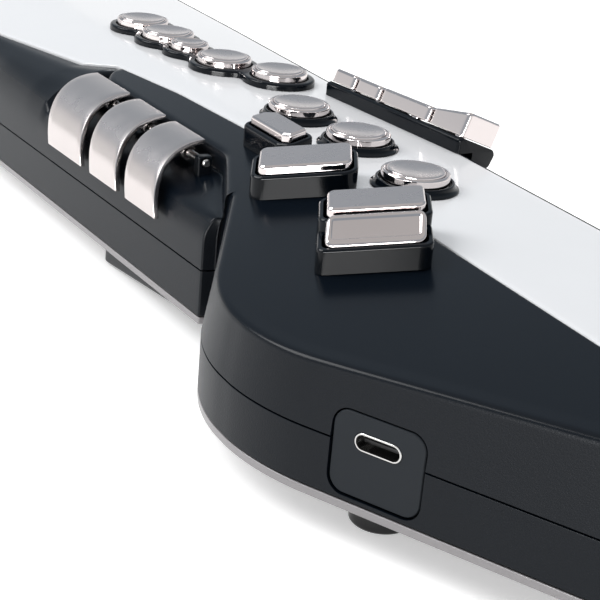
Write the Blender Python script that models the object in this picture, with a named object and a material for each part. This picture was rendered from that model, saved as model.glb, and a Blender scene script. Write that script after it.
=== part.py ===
"""A saxophone-style digital wind instrument, keys up, on its rubber feet.

X runs across the instrument, Y from the bell to the mouthpiece, Z up. All sizes are metres.
Stations along the body are measured from the bell's tip and called s; distances across are called u,
measured from the body's centre line, and heights called h are measured from the seam between the shells.
"""

import math

import bmesh
import bpy
import numpy as np
from mathutils import Matrix, Vector

MM = 0.001

# Heights
FOOT_HEIGHT = 6.5 * MM
PLATE_THICKNESS = 1.85 * MM
LOWER_HEIGHT = 10.3 * MM
WALL = 2.2 * MM
GAP = 0.3 * MM
SEAM_Z = FOOT_HEIGHT + PLATE_THICKNESS + LOWER_HEIGHT

# Outline of the body, seen from above
BODY_LENGTH = 440 * MM
TIP_RADIUS = 20 * MM
BELL_ANGLE = math.radians(27.4)
LOBE_RADIUS = 48 * MM
LOBE_REACH = 51.5 * MM
LOBE_STATION = 88 * MM
FLANK_ANGLE = math.radians(29)
WAIST_STATION = 140 * MM
WAIST_HALF_WIDTH = 33.3 * MM
SHOULDER_STATION = 270 * MM
LEFT_HALF_WIDTH = 40.3 * MM
RIGHT_WAIST = 34.8 * MM
RIGHT_HALF_WIDTH = 36.5 * MM
NECK_HALF_WIDTH = 22 * MM
NECK_TAPER_START = 330 * MM

# Top surface, which is a plane that falls to the left and rises to the mouthpiece
TOP_HEIGHT = 18.9 * MM
RIGHT_MARGIN = 3 * MM
RIGHT_CORNER_RADIUS = 30 * MM
NECK_MARGIN = 4 * MM
PANEL_LAG = 2.5 * MM
TOP_FALL = 0.194
TOP_RISE = 0.026
CREST = 6.5 * MM
DRAFT = 1.0 * MM
PANEL_THICKNESS = 2.2 * MM

# Bay of the side keys
BAY_START = 160 * MM
BAY_END = 234 * MM
BAY_DEPTH = 5.2 * MM
WING_TIP = 237 * MM
WING_EDGE_START = 19.3 * MM
WING_EDGE_END = 22.6 * MM
TUBE_WALL_HEIGHT = 8 * MM
NOTCH_DEPTH = 1.4 * MM

# Round keys: low cups in black rings, each given by its place and radius
CAP_RADIUS = 7.4 * MM
BIS_CAP_RADIUS = 5.3 * MM
CAP_HEIGHT = 3.9 * MM
CAP_RIM = 1.2 * MM
CAP_DISH = 0.9 * MM
CAP_EDGE = 0.5 * MM
CAP_TRAVEL = 1.0 * MM
RING_HEIGHT = 1.7 * MM
RING_FLARE = 1.8 * MM
RING_LIP = 0.6 * MM
BASE_WEB = 4 * MM
BASE_STEPS = 28
STEM_RADIUS = 2.2 * MM
STEM_LENGTH = 5.6 * MM
RIGHT_HAND_KEYS = (
    ("r1_key", 7.7 * MM, 177.5 * MM),
    ("r2_key", 10.3 * MM, 153.0 * MM),
    ("r3_key", 7.7 * MM, 123.9 * MM),
)
LEFT_HAND_KEYS = (
    ("l3_key", 18.0 * MM, 208.9 * MM, CAP_RADIUS),
    ("l2_key", 9.2 * MM, 224.5 * MM, CAP_RADIUS),
    ("bis_key", 6.0 * MM, 240.5 * MM, BIS_CAP_RADIUS),
    ("l1_key", 5.3 * MM, 254.2 * MM, CAP_RADIUS),
    ("front_f_key", 4.2 * MM, 270.8 * MM, CAP_RADIUS),
)

# Flat keys in trays: two low keys in one tray, a trill key and a six-sided key
KEY_TRAVEL = 1.8 * MM
FLAT_KEY_HEIGHT = 6.6 * MM
BAR_KEY_WIDTH = 18.5 * MM
BAR_KEY_CORNER = 1.3 * MM
TRAY_HEIGHT = 4.8 * MM
TRAY_MARGIN = 1.5 * MM
LOW_KEY_TURN = math.radians(-29)
PAIR_ORIGIN = (-31.7 * MM, 93.9 * MM)
PAIR_KEY_HEIGHT = 9 * MM
PAIR_STEP = 2.4 * MM
FRONT_KEY_DEPTH = 6.2 * MM
BACK_KEY_DEPTH = 9.2 * MM
FRONT_KEY_START = 1.2 * MM
BACK_KEY_START = 8.8 * MM
PAIR_DEPTH = BACK_KEY_START + BACK_KEY_DEPTH + 0.8 * MM
TRILL_CENTRE = (-13.8 * MM, 133.4 * MM)
TRILL_KEY_TURN = math.radians(-28.9)
TRILL_KEY_WIDTH = 19.4 * MM
TRILL_KEY_DEPTH = 11.2 * MM
TRILL_KEY_CORNER = 1.8 * MM
HEX_CENTRE = (-9.8 * MM, 154.0 * MM)
HEX_CORNERS = ((-3.2, 6.6), (0.2, 8.6), (3.0, 6.4), (3.2, -7.0), (-1.0, -8.6), (-2.9, -6.8))

# Boards inside: the keys' board follows the top surface, given as (station, reach to the left)
BOARD_THICKNESS = 1.6 * MM
BOARD_DEPTH = STEM_LENGTH + KEY_TRAVEL + GAP
BOARD_MARGIN = 3.6 * MM
BOARD_STATIONS = ((66, 30), (88, 38), (112, 36), (126, 27), (140, 20), (158, 14.6), (215, 15.5), (268, 16))
MAIN_BOARD_START = 216 * MM
MAIN_BOARD_LENGTH = 118 * MM
MAIN_BOARD_WIDTH = 44 * MM
MAIN_BOARD_LEVEL = -4.4 * MM
SENSOR_WIDTH = 14 * MM
SENSOR_DEPTH = 12 * MM
SENSOR_HEIGHT = 10 * MM

# Side keys, which hook over the edge of the tube and swing on one rod
SIDE_KEY_THICKNESS = 1.2 * MM
SIDE_KEY_CLEARANCE = 1.3 * MM
SIDE_KEY_RISE = 1.1 * MM
SIDE_KEY_BOTTOM = 5.8 * MM
SIDE_KEY_LEAN = 9.9 * MM
SIDE_KEY_SQUARENESS = 2.44
SIDE_ROD_RADIUS = 1.0 * MM
SIDE_ROD_REACH = 3.2 * MM
SIDE_ROD_RISE = 2.1 * MM
SIDE_HUB_RADIUS = 1.9 * MM
SIDE_KEY_STEPS = 9
POST_LENGTH = 2.4 * MM
POST_WIDTH = 3.6 * MM
SIDE_KEYS = (
    ("side_c_key", 167.9 * MM, 183.7 * MM),
    ("side_b_flat_key", 188.9 * MM, 204.5 * MM),
    ("side_high_e_key", 210 * MM, 231.4 * MM),
)

# Left little finger's keys, on a pod over the right shoulder that leans outwards and turns inwards to the neck.
# Keys are given by start and length as shares of the pod's, and their heights at the back and the front.
# The overhang is how far the first key's edge stands out of the pod.
CLUSTER_START = 142.5 * MM
CLUSTER_LENGTH = 54 * MM
CLUSTER_LEAN = math.radians(20.4)
CLUSTER_TURN = math.radians(6.8)
CLUSTER_TOP_WIDTH = 12.6 * MM
CLUSTER_TOP_RISE = 4.1 * MM
CLUSTER_OVERHANG = 0.7 * MM
POD_SECTION = ((0.0, -0.8), (0.8, 0.0), (11.6, 0.0), (12.6, -1.0), (12.3, -4.2), (11.3, -5.0), (2.7, -2.9))
CLUSTER_KEYS = (
    ("low_b_flat_key", 0.013, 0.230, 3.9 * MM, 6.0 * MM),
    ("low_b_key", 0.256, 0.352, 3.7 * MM, 3.9 * MM),
    ("low_c_sharp_key", 0.622, 0.180, 3.6 * MM, 3.6 * MM),
    ("g_sharp_key", 0.816, 0.170, 3.6 * MM, 3.6 * MM),
)
CLUSTER_KEY_WIDTH = 10.8 * MM
CLUSTER_TRAVEL = 1.2 * MM
CLUSTER_STEM_RADIUS = 1.5 * MM
CLUSTER_STEM_LENGTH = 3.0 * MM

# Palm keys on the right wall and octave keys on the rear
PALM_KEY_LENGTH = 18 * MM
PALM_KEY_HEIGHT = 9 * MM
PALM_KEY_LEVEL = 8.5 * MM
PALM_TRAVEL = 1.5 * MM
PALM_PROUD = 4.1 * MM
PALM_KEYS = (("high_d_key", 262 * MM), ("high_e_flat_key", 286 * MM), ("high_f_key", 310 * MM))
OCTAVE_KEY_WIDTH = 20 * MM
OCTAVE_KEY_DEPTH = 9 * MM
OCTAVE_PROUD = 4.3 * MM
OCTAVE_TRAVEL = 1.5 * MM

# Neck and mouthpiece
COLLAR_LENGTH = 16 * MM
COLLAR_RADIUS = 15 * MM
MOUTHPIECE_LENGTH = 104 * MM
MOUTHPIECE_RADIUS = 11.5 * MM
MOUTHPIECE_TILT = math.radians(6)
NECK_HEIGHT = 4 * MM
AIR_CHANNEL_RADIUS = 1.9 * MM
REED_TABLE = 7.5 * MM
REED_TABLE_START = 47 * MM
TIP_OPENING = 0.8 * MM
BEAK_TOP = 4.8 * MM
BITE_PLATE_START = 52 * MM
BITE_PLATE_WIDTH = 13 * MM
BITE_PLATE_THICKNESS = 1.8 * MM
MOUTH_SECTIONS = (
    (1.6, 11.5, -11.5, 11.5), (30, 11.5, -11.5, 11.5), (46, 11.0, -11.0, 11.0), (48, 10.8, -10.8, 10.9),
    (70, 9.8, -7.4, 10.5), (90, 8.4, -0.9, 9.6), (MOUTHPIECE_LENGTH / MM, 7.2, BEAK_TOP / MM, 8.6),
)

# Rear
BATTERY_COVER_START = 142 * MM
BATTERY_COVER_LENGTH = 57 * MM
BATTERY_COVER_NEAR_HALF_WIDTH = 30.3 * MM
BATTERY_COVER_FAR_HALF_WIDTH = 33.2 * MM
BATTERY_COVER_NEAR_DEPTH = 1.4 * MM
BATTERY_COVER_FAR_DEPTH = 5.9 * MM
BATTERY_COVER_WALL = 1.0 * MM
WELL_HALF_WIDTH = 28.5 * MM
CELL_DIAMETER = 14 * MM
CELL_LENGTH = BATTERY_COVER_LENGTH - 7 * MM
CELL_COUNT = 4
FOOT_RADIUS = 5.7 * MM

# Jacks
JACK_PLATE_WIDTH = 17.5 * MM
JACK_PLATE_THICKNESS = 1.6 * MM
USB_WIDTH = 8.94 * MM
USB_HEIGHT = 3.26 * MM
USB_DEPTH = 7.3 * MM
USB_RISE = 1.0 * MM
USB_STATION = 53.8 * MM
USB_WALL = 0.3 * MM
JACK_PLATE_HEIGHT = 15 * MM
JACK_PLATE_RISE = -1.8 * MM
PHONES_STATION = 28 * MM
PHONES_RADIUS = 3.3 * MM
PHONES_BORE_RADIUS = 1.8 * MM

# Rubber feet, strap ring, thumb rest and the panel of controls on the rear
LEFT_FOOT = (-31.5 * MM, 63.3 * MM)
RIGHT_FOOT = (25 * MM, 63.3 * MM)
NECK_FOOT_STATION = 412 * MM
NECK_FOOT_WIDTH = 40 * MM
NECK_FOOT_DEPTH = 9 * MM
RING_HALF_WIDTH = 9.2 * MM
RING_DEPTH = 8.8 * MM
RING_WIRE = 1.2 * MM
RING_STATION = 266 * MM
RING_EAR = 6 * MM
RING_BEND = 1.2 * MM
REST_STATION = 234 * MM
REST_HALF_WIDTH = 10 * MM
REST_HALF_LENGTH = 9 * MM
REST_DEPTH = 5.4 * MM
REST_PROFILE = (
    (-1.0, 0.0), (1.0, 0.0), (1.0, -0.92), (0.86, -1.0), (0.74, -0.92), (0.66, -0.62), (0.42, -0.38), (0.1, -0.3),
    (-1.0, -0.26),
)
OCTAVE_STATIONS = (("octave_down_key", 306 * MM), ("octave_up_key", 330 * MM))
DISPLAY_STATION = 372 * MM
DISPLAY_WIDTH = 30 * MM
DISPLAY_DEPTH = 14 * MM
BUTTON_RADIUS = 3 * MM
BUTTON_STATION = DISPLAY_STATION - 18 * MM
BUTTONS = (("menu_button", -8 * MM), ("enter_button", 8 * MM), ("power_button", 22 * MM))
SPEAKER_RADIUS = 14 * MM
SPEAKER_HEIGHT = 9 * MM
SLOT_WIDTH = 2 * MM
SLOT_PITCH = 4.6 * MM
SPEAKERS = (("speaker_left", -22 * MM, 92 * MM), ("speaker_right", 11 * MM, 92 * MM))

MOUTHPIECE_REACH = MOUTHPIECE_LENGTH * math.cos(MOUTHPIECE_TILT) - BEAK_TOP * math.sin(MOUTHPIECE_TILT)
TOTAL_LENGTH = BODY_LENGTH + COLLAR_LENGTH + MOUTHPIECE_REACH
CLUSTER_REACH = 43.7 * MM
MIDDLE_U = (CLUSTER_REACH - LOBE_REACH) / 2
MIDDLE_S = TOTAL_LENGTH / 2

for old in list(bpy.data.objects):
    bpy.data.objects.remove(old)

instrument = bpy.data.objects.new("instrument", None)
instrument.location = (-MIDDLE_U, -MIDDLE_S, SEAM_Z)
bpy.context.scene.collection.objects.link(instrument)


def finish(name, colour, roughness, metallic=0.0):
    material = bpy.data.materials.new(name)
    material.use_nodes = True
    shader = material.node_tree.nodes["Principled BSDF"]
    shader.inputs["Base Color"].default_value = (*colour, 1.0)
    shader.inputs["Roughness"].default_value = roughness
    shader.inputs["Metallic"].default_value = metallic
    return material


BLACK = finish("black_plastic", (0.016, 0.021, 0.028), 0.32)
WHITE = finish("white_gloss", (0.86, 0.88, 0.90), 0.12)
SILVER = finish("brushed_silver", (0.62, 0.61, 0.62), 0.38, 0.7)
CHROME = finish("dark_chrome", (0.36, 0.33, 0.33), 0.14, 1.0)
RUBBER = finish("rubber", (0.01, 0.01, 0.011), 0.7)
BOARD = finish("circuit_board", (0.02, 0.09, 0.05), 0.5)
STEEL = finish("steel", (0.6, 0.6, 0.6), 0.25, 1.0)
CELL = finish("cell_wrap", (0.12, 0.13, 0.14), 0.4)
GLASS = finish("display_glass", (0.01, 0.012, 0.015), 0.08)


def place(name, mesh, material, origin=(0, 0, 0), turn=None, smooth=True):
    """Links a mesh as one node, with its own copy of its material; turn holds the piece's three axes."""
    piece = bpy.data.objects.new(name, mesh)
    own = material.copy()
    own.name = f"{name}_{material.name}"
    mesh.materials.append(own)
    piece.parent = instrument
    if turn:
        mesh.transform(turn.to_4x4())
    piece.matrix_local = Matrix.Translation(origin)
    bpy.context.scene.collection.objects.link(piece)
    if smooth:
        mesh.shade_smooth()
        mesh.set_sharp_from_angle(angle=math.radians(32))
    return piece


def loft(name, rings, joined=False):
    """A mesh through rings of equal length: joined end to end, or capped at its first and last ring."""
    shape = bmesh.new()
    rows = [[shape.verts.new(point) for point in ring] for ring in rings]
    count = len(rings[0])
    pairs = list(zip(rows, rows[1:]))
    if joined:
        pairs.append((rows[-1], rows[0]))
    for low, high in pairs:
        for i in range(count):
            j = (i + 1) % count
            shape.faces.new((low[i], low[j], high[j], high[i]))
    if not joined:
        shape.faces.new(rows[0])
        shape.faces.new(rows[-1])
    bmesh.ops.recalc_face_normals(shape, faces=shape.faces)
    if shape.calc_volume(signed=True) < 0:
        bmesh.ops.reverse_faces(shape, faces=shape.faces)
    mesh = bpy.data.meshes.new(name)
    shape.to_mesh(mesh)
    shape.free()
    return mesh


def prism(name, outline, low, high):
    """A mesh between two heights over an outline of (u, s) points."""
    return loft(name, [[(u, s, level) for u, s in outline] for level in (low, high)])


def rounded_outline(width, depth, corner, middle=(0.0, 0.0)):
    """Points round a rectangle with rounded corners."""
    points = []
    for index, (x, y) in enumerate(((1, 1), (-1, 1), (-1, -1), (1, -1))):
        for step in range(4):
            angle = (index + step / 3) * math.pi / 2
            points.append((
                middle[0] + x * (width / 2 - corner) + corner * math.cos(angle),
                middle[1] + y * (depth / 2 - corner) + corner * math.sin(angle),
            ))
    return points


def block(name, width, depth, low, high, corner=1.2 * MM, chamfer=0.4 * MM):
    """A block with rounded upright corners, centred on its origin, and a chamfered top edge."""
    levels = ((low, 0.0), (high - chamfer, 0.0), (high, chamfer))
    return loft(name, [
        [(x, y, level) for x, y in rounded_outline(width - 2 * inset, depth - 2 * inset, corner - inset)]
        for level, inset in levels
    ])


def turned(name, profile, sides=24):
    """A solid of revolution about Z through (radius, height) points, from its bottom centre to its top centre."""
    rings = []
    for radius, height in profile:
        angles = [2 * math.pi * k / sides for k in range(sides)]
        rings.append([(radius * math.cos(a), radius * math.sin(a), height) for a in angles])
    return loft(name, rings)


def merge(piece, mesh, operation, origin, turn):
    helper = place(f"helper_{len(bpy.data.objects)}", mesh.copy(), RUBBER, origin, turn, smooth=False)
    helper.hide_render = True
    helper.display_type = "WIRE"
    modifier = piece.modifiers.new(operation.lower(), "BOOLEAN")
    modifier.object = helper
    modifier.operation = operation
    modifier.solver = "EXACT"


def cut(piece, mesh, origin=(0, 0, 0), turn=None):
    """Takes a cutter's shape out of a piece."""
    merge(piece, mesh, "DIFFERENCE", origin, turn)


def join(piece, mesh, origin=(0, 0, 0), turn=None):
    """Makes a shape part of a piece that it overlaps."""
    merge(piece, mesh, "UNION", origin, turn)


def rod(name, radius, length, sides=16):
    """A round bar along Z from its origin."""
    return turned(name, ((radius, 0.0), (radius, length)), sides)


def top_height(u, s):
    """The height of the top surface above the seam."""
    return TOP_HEIGHT + TOP_FALL * min(u, -CREST) + TOP_RISE * s


def left_wall(s):
    stations = (WAIST_STATION, SHOULDER_STATION, NECK_TAPER_START, BODY_LENGTH)
    widths = (WAIST_HALF_WIDTH, LEFT_HALF_WIDTH, LEFT_HALF_WIDTH, NECK_HALF_WIDTH)
    return float(np.interp(s, stations, widths))


def right_wall(s):
    stations = (WAIST_STATION, SHOULDER_STATION, NECK_TAPER_START, BODY_LENGTH)
    widths = (RIGHT_WAIST, RIGHT_HALF_WIDTH, RIGHT_HALF_WIDTH, NECK_HALF_WIDTH)
    return float(np.interp(s, stations, widths))


def between(first, second, share):
    return tuple(a + (b - a) * share for a, b in zip(first, second))


def panel_left(s):
    """How far left of the centre line the white panel reaches."""
    stations = (110 * MM, 174 * MM, 205 * MM, WING_TIP, 246 * MM, 290 * MM, NECK_TAPER_START, BODY_LENGTH)
    reaches = (5.8 * MM, 9.4 * MM, 11.8 * MM, 16.4 * MM, 23.0 * MM, 32.5 * MM, 34.5 * MM, 18 * MM)
    return float(np.interp(s, stations, reaches))


def wing_edge(s):
    """How far left of the centre line the wing over the side keys reaches."""
    if s < BAY_START:
        return WING_EDGE_START + (BAY_START - s) * math.tan(FLANK_ANGLE * 0.83)
    return float(np.interp(s, (BAY_START, BAY_END), (WING_EDGE_START, WING_EDGE_END)))


def shell_row(edge, normal, lower, upper, corner, brow, panel, inner):
    """One cross-section of the upper shell, from its outer seam over the top and back inside to the seam."""
    def inset(distance, height):
        return (edge[0] - normal[0] * distance, edge[1] - normal[1] * distance, height)
    top = top_height(*panel)
    return [
        inset(0.0, GAP / 2),
        inset(*lower),
        inset(*upper),
        corner,
        brow,
        (*panel, top),
        (*panel, top - PANEL_THICKNESS - GAP),
        inner,
        inset(upper[0] + WALL, upper[1] - WALL),
        inset(WALL, GAP / 2),
    ]


def bell_row(edge, angle, panel):
    """A row of the bell, whose wall leans in a little up to a rim and whose top rises from there to the panel."""
    normal = (math.sin(angle), -math.cos(angle))
    rim = top_height(edge[0] - normal[0] * 2 * MM, edge[1] - normal[1] * 2 * MM)

    def inset(distance, height):
        return (edge[0] - normal[0] * distance, edge[1] - normal[1] * distance, height)
    corner = inset(DRAFT, rim - 1.1 * MM)
    brow = inset(DRAFT + 1.1 * MM, rim)
    inner = inset(DRAFT + 4 * MM, rim - 3.2 * MM)
    return shell_row(
        edge, normal, (DRAFT / 2, rim * 0.5), (DRAFT * 0.8, rim * 0.8), corner, brow, panel, inner
    )


def bay_row(s):
    """A row of the tube along the side keys, where the top is cut down to a floor that falls to the wall."""
    wall = left_wall(s)
    reach = wing_edge(s)
    floor = top_height(-reach, s) - BAY_DEPTH
    corner = (-reach, s, floor)
    brow = (-reach, s, top_height(-reach, s))
    inner = (1.2 * MM - reach, s, floor - WALL)
    normal = (-1.0, 0.0)
    lower = (0.0, TUBE_WALL_HEIGHT)
    return shell_row((-wall, s), normal, lower, (2.2 * MM, 12 * MM), corner, brow, (-panel_left(s), s), inner)


def tube_row(s):
    """A row of the tube past the side keys, with a rounded shoulder from the wall up to the panel."""
    wall = left_wall(s)
    reach = panel_left(s)
    top = top_height(-reach, s)

    def shoulder(degrees):
        angle = math.radians(degrees)
        u = reach + (wall - reach) * math.cos(angle)
        return u, TUBE_WALL_HEIGHT + (top - TUBE_WALL_HEIGHT) * math.sin(angle)
    first, second, third = shoulder(26), shoulder(50), shoulder(74)
    inner = (max(-reach, WALL - second[0]), s, second[1] - WALL)
    return shell_row(
        (-wall, s), (-1.0, 0.0), (0.0, TUBE_WALL_HEIGHT), (wall - first[0], first[1]),
        (-second[0], s, second[1]), (-third[0], s, third[1]), (-reach, s), inner,
    )


def right_row(edge, angle):
    """A row of the right side, where the panel comes close to a steep shoulder."""
    normal = (math.sin(angle), -math.cos(angle))

    def inset(distance, height):
        return (edge[0] - normal[0] * distance, edge[1] - normal[1] * distance, height)
    panel = inset(RIGHT_MARGIN, 0.0)[:2]
    top = top_height(*panel)
    return shell_row(
        edge, normal, (0.0, TUBE_WALL_HEIGHT), (0.3 * MM, 13 * MM), inset(1.0 * MM, 16.2 * MM),
        inset(2.0 * MM, top - 1.2 * MM), panel, inset(RIGHT_MARGIN, 15 * MM),
    )


def shell_rows():
    """All cross-sections, clockwise from the bell's tip as seen from above: left side, neck end, right side."""
    rows = []
    tangent = math.pi / 2 - BELL_ANGLE
    for share in (0.0, 0.35, 0.7, 1.0):
        angle = tangent * share
        edge = (-TIP_RADIUS * math.sin(angle), TIP_RADIUS * (1 - math.cos(angle)))
        inner_radius = TIP_RADIUS - RIGHT_MARGIN
        panel = (
            max(-inner_radius * math.sin(angle), -panel_left(0.0)),
            TIP_RADIUS - inner_radius * math.cos(angle),
        )
        rows.append(bell_row(edge, -angle, panel))
    centre = LOBE_RADIUS - LOBE_REACH
    for angle in np.linspace(-BELL_ANGLE, FLANK_ANGLE, 7):
        edge = (centre - LOBE_RADIUS * math.cos(angle), LOBE_STATION + LOBE_RADIUS * math.sin(angle))
        rows.append(bell_row(edge, -math.pi / 2 - angle, (-panel_left(edge[1]), edge[1] + PANEL_LAG)))
    last = edge
    for step in (8 * MM, 16 * MM, 24 * MM):
        edge = (last[0] + step * math.sin(FLANK_ANGLE), last[1] + step * math.cos(FLANK_ANGLE))
        rows.append(bell_row(edge, -math.pi / 2 - FLANK_ANGLE, (-panel_left(edge[1]), edge[1] + PANEL_LAG)))
    notch = bay_row(WAIST_STATION - 4.5 * MM)
    for point in (0, 1):
        notch[point] = (notch[point][0] + NOTCH_DEPTH, *notch[point][1:])
    rows.append(notch)
    rows.extend(bay_row(s) for s in (WAIST_STATION, 150 * MM, BAY_START, 185 * MM, 210 * MM, BAY_END))
    rows.extend(tube_row(s) for s in (WING_TIP, 246 * MM, SHOULDER_STATION, 290 * MM, 330 * MM, 385 * MM))
    rows.append(tube_row(BODY_LENGTH - NECK_MARGIN))
    for share in (-1.0, -0.4, 0.4, 1.0):
        u = NECK_HALF_WIDTH * share
        end = BODY_LENGTH
        panel = (share * (NECK_HALF_WIDTH - RIGHT_MARGIN), end - NECK_MARGIN)
        if share == -1.0:
            panel = (-panel_left(end), end - NECK_MARGIN + 0.5 * MM)
        top = top_height(*panel)
        rows.append(shell_row(
            (u, end), (0.0, 1.0), (0.0, TUBE_WALL_HEIGHT), (0.3 * MM, 13 * MM), (u, end - 1 * MM, 17 * MM),
            (u, end - 2 * MM, top - 1 * MM), panel, (panel[0], end - NECK_MARGIN + 0.5 * MM, 15 * MM),
        ))
    for s in (BODY_LENGTH - NECK_MARGIN - 2 * MM, 385 * MM, 330 * MM, 270 * MM, 200 * MM, 140 * MM, 90 * MM):
        rows.append(right_row((right_wall(s), s), math.pi / 2))
    corner_u = RIGHT_WAIST - RIGHT_CORNER_RADIUS
    start_u = corner_u + RIGHT_CORNER_RADIUS * math.cos(BELL_ANGLE)
    tip_u = TIP_RADIUS * math.sin(tangent)
    tip_s = TIP_RADIUS * (1 - math.cos(tangent))
    start_s = tip_s + (start_u - tip_u) / math.tan(BELL_ANGLE)
    corner_s = start_s + RIGHT_CORNER_RADIUS * math.sin(BELL_ANGLE)
    for share in (0.0, 0.5, 1.0):
        angle = BELL_ANGLE * share
        edge = (corner_u + RIGHT_CORNER_RADIUS * math.cos(angle), corner_s - RIGHT_CORNER_RADIUS * math.sin(angle))
        rows.append(right_row(edge, math.pi / 2 - angle))
    for share in (1.0, 0.7, 0.35):
        angle = tangent * share
        edge = (TIP_RADIUS * math.sin(angle), TIP_RADIUS * (1 - math.cos(angle)))
        rows.append(right_row(edge, angle))
    return rows


ROWS = shell_rows()
OUTLINE = [row[0][:2] for row in ROWS]
INNER_OUTLINE = [row[9][:2] for row in ROWS]
upper_shell = place("upper_shell", loft("upper_shell", [list(ring) for ring in zip(*ROWS)], joined=True), BLACK)

floor_height = -LOWER_HEIGHT + WALL
lower_shell = place("lower_shell", loft("lower_shell", [
    [(u, s, floor_height) for u, s in INNER_OUTLINE],
    [(u, s, -GAP / 2) for u, s in INNER_OUTLINE],
    [(u, s, -GAP / 2) for u, s in OUTLINE],
    [(u, s, -LOWER_HEIGHT) for u, s in OUTLINE],
]), BLACK)
back_plate = place("back_plate", prism(
    "back_plate", OUTLINE, -LOWER_HEIGHT - PLATE_THICKNESS, -LOWER_HEIGHT - GAP), SILVER)


def strip(name, stations, low, high, right_bevel=0.6 * MM, left_bevel=0.0):
    """A slab that follows the top surface: stations are (s, left u, right u); low and high are above it."""
    rings = []
    for s, left, right in stations:
        crest = min(max(-CREST, left + left_bevel + GAP), right - right_bevel - GAP)
        middle = (crest + right - right_bevel) / 2
        ring = [(left, low), (left, high - left_bevel)]
        if left_bevel:
            ring.append((left + left_bevel, high))
        ring += [(crest, high), (middle, high), (right - right_bevel, high), (right, high - right_bevel)]
        ring += [(right, low), (middle, low), (crest, low)]
        rings.append([(u, s, top_height(u, s) + level) for u, level in ring])
    return loft(name, rings)


def panel_stations():
    """The panel's left and right edge at each station, a gap inside the edge of its opening."""
    edges = [row[5][:2] for row in ROWS]
    last_left = max(range(len(edges)), key=lambda i: (edges[i][1], -edges[i][0]))
    left = sorted((s, u) for u, s in edges[:last_left + 1] if u <= 0)
    right = sorted((s, u) for u, s in edges[last_left + 3:] + edges[:1] if u >= 0)
    stations = []
    knots = [3.6 * MM, 4.4 * MM, 7 * MM, 14 * MM, 25 * MM, 38 * MM, 60 * MM, 110 * MM, 140 * MM, 185 * MM,
             210 * MM, BAY_END, WING_TIP, 246 * MM, SHOULDER_STATION, 290 * MM, 330 * MM, 385 * MM,
             BODY_LENGTH - NECK_MARGIN - GAP]
    for s in knots:
        u_left = float(np.interp(s, *zip(*left)))
        u_right = float(np.interp(s, *zip(*right)))
        stations.append((s, u_left + GAP, u_right - GAP))
    return stations


PANEL_STATIONS = panel_stations()
front_panel = place("front_panel", strip("front_panel", PANEL_STATIONS, -PANEL_THICKNESS, 0.0), WHITE)


def surface(u, s, turn=0.0, level=False):
    """The place and the axes of a piece on the top surface: its plan lies in the surface, its walls are plumb."""
    fall = TOP_FALL if u < -CREST and not level else 0.0
    across = Vector((1, 0, fall)).normalized()
    along = Vector((0, 1, TOP_RISE))
    upright = across.cross(along).normalized()
    along = upright.cross(across)
    basis = Matrix((across, along, Vector((0, 0, 1)))).transposed()
    return (u, s, top_height(u, s)), basis @ Matrix.Rotation(turn, 3, "Z")


def round_key(name, u, s, radius):
    """A cupped cap on a stem that slides down through the panel."""
    base = CAP_TRAVEL + GAP
    profile = (
        (STEM_RADIUS, -STEM_LENGTH), (STEM_RADIUS, base), (radius, base), (radius, CAP_HEIGHT - CAP_EDGE),
        (radius - CAP_EDGE, CAP_HEIGHT), (radius - CAP_RIM, CAP_HEIGHT - CAP_EDGE),
        (radius * 0.45, CAP_HEIGHT - CAP_DISH),
    )
    origin, turn = surface(u, s, level=True)
    place(name, turned(name, profile, 18), CHROME, origin, turn)
    hole = turned(f"{name}_hole", ((STEM_RADIUS + GAP, -8 * MM), (STEM_RADIUS + GAP, 3 * MM)), 12)
    cut(front_panel, hole, origin, turn)


for name, u, s in RIGHT_HAND_KEYS:
    round_key(name, u, s, CAP_RADIUS)
    bore = CAP_RADIUS + GAP
    flange = bore + RING_FLARE
    sides = [2 * math.pi * k / 20 for k in range(20)]
    profile = ((flange, GAP), (bore + RING_LIP, RING_HEIGHT), (bore, RING_HEIGHT), (bore, GAP))
    rings = [[(r * math.cos(a), r * math.sin(a), z) for a in sides] for r, z in profile]
    ring_name = name.replace("_key", "_ring")
    origin, turn = surface(u, s, level=True)
    place(ring_name, loft(ring_name, rings, joined=True), BLACK, origin, turn)


def left_hand_base_stations():
    """The base is a row of discs joined by a narrow web, so its edge waves from key to key."""
    discs = [(u, s, radius + GAP + RING_FLARE) for _, u, s, radius in LEFT_HAND_KEYS]
    first = discs[0][1] - discs[0][2]
    last = discs[-1][1] + discs[-1][2]
    stations = []
    for s in np.linspace(first + BASE_WEB / 4, last - BASE_WEB / 4, BASE_STEPS):
        middle = float(np.interp(s, [disc[1] for disc in discs], [disc[0] for disc in discs]))
        left = middle - BASE_WEB
        right = middle + BASE_WEB
        if not discs[0][1] < s < discs[-1][1]:
            left = right = middle
        for u, centre, radius in discs:
            half = math.sqrt(max(radius ** 2 - (s - centre) ** 2, 0.0))
            if half > 0:
                left = min(left, u - half)
                right = max(right, u + half)
        stations.append((s, left, right))
    return stations


for name, u, s, radius in LEFT_HAND_KEYS:
    round_key(name, u, s, radius)
left_hand_base = place("left_hand_base", strip(
    "left_hand_base", left_hand_base_stations(), GAP, RING_HEIGHT, left_bevel=RING_LIP), BLACK)
for name, u, s, radius in LEFT_HAND_KEYS:
    origin, turn = surface(u, s, level=True)
    cut(left_hand_base, turned(f"{name}_well", ((radius + GAP, -2 * MM), (radius + GAP, 5 * MM)), 18), origin, turn)


def pushed(outline, margin):
    """A convex outline moved outwards from its own centre."""
    centre = tuple(sum(axis) / len(outline) for axis in zip(*outline))
    result = []
    for point in outline:
        reach = math.dist(point, centre)
        result.append(between(centre, point, 1 + margin / reach))
    return result


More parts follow.
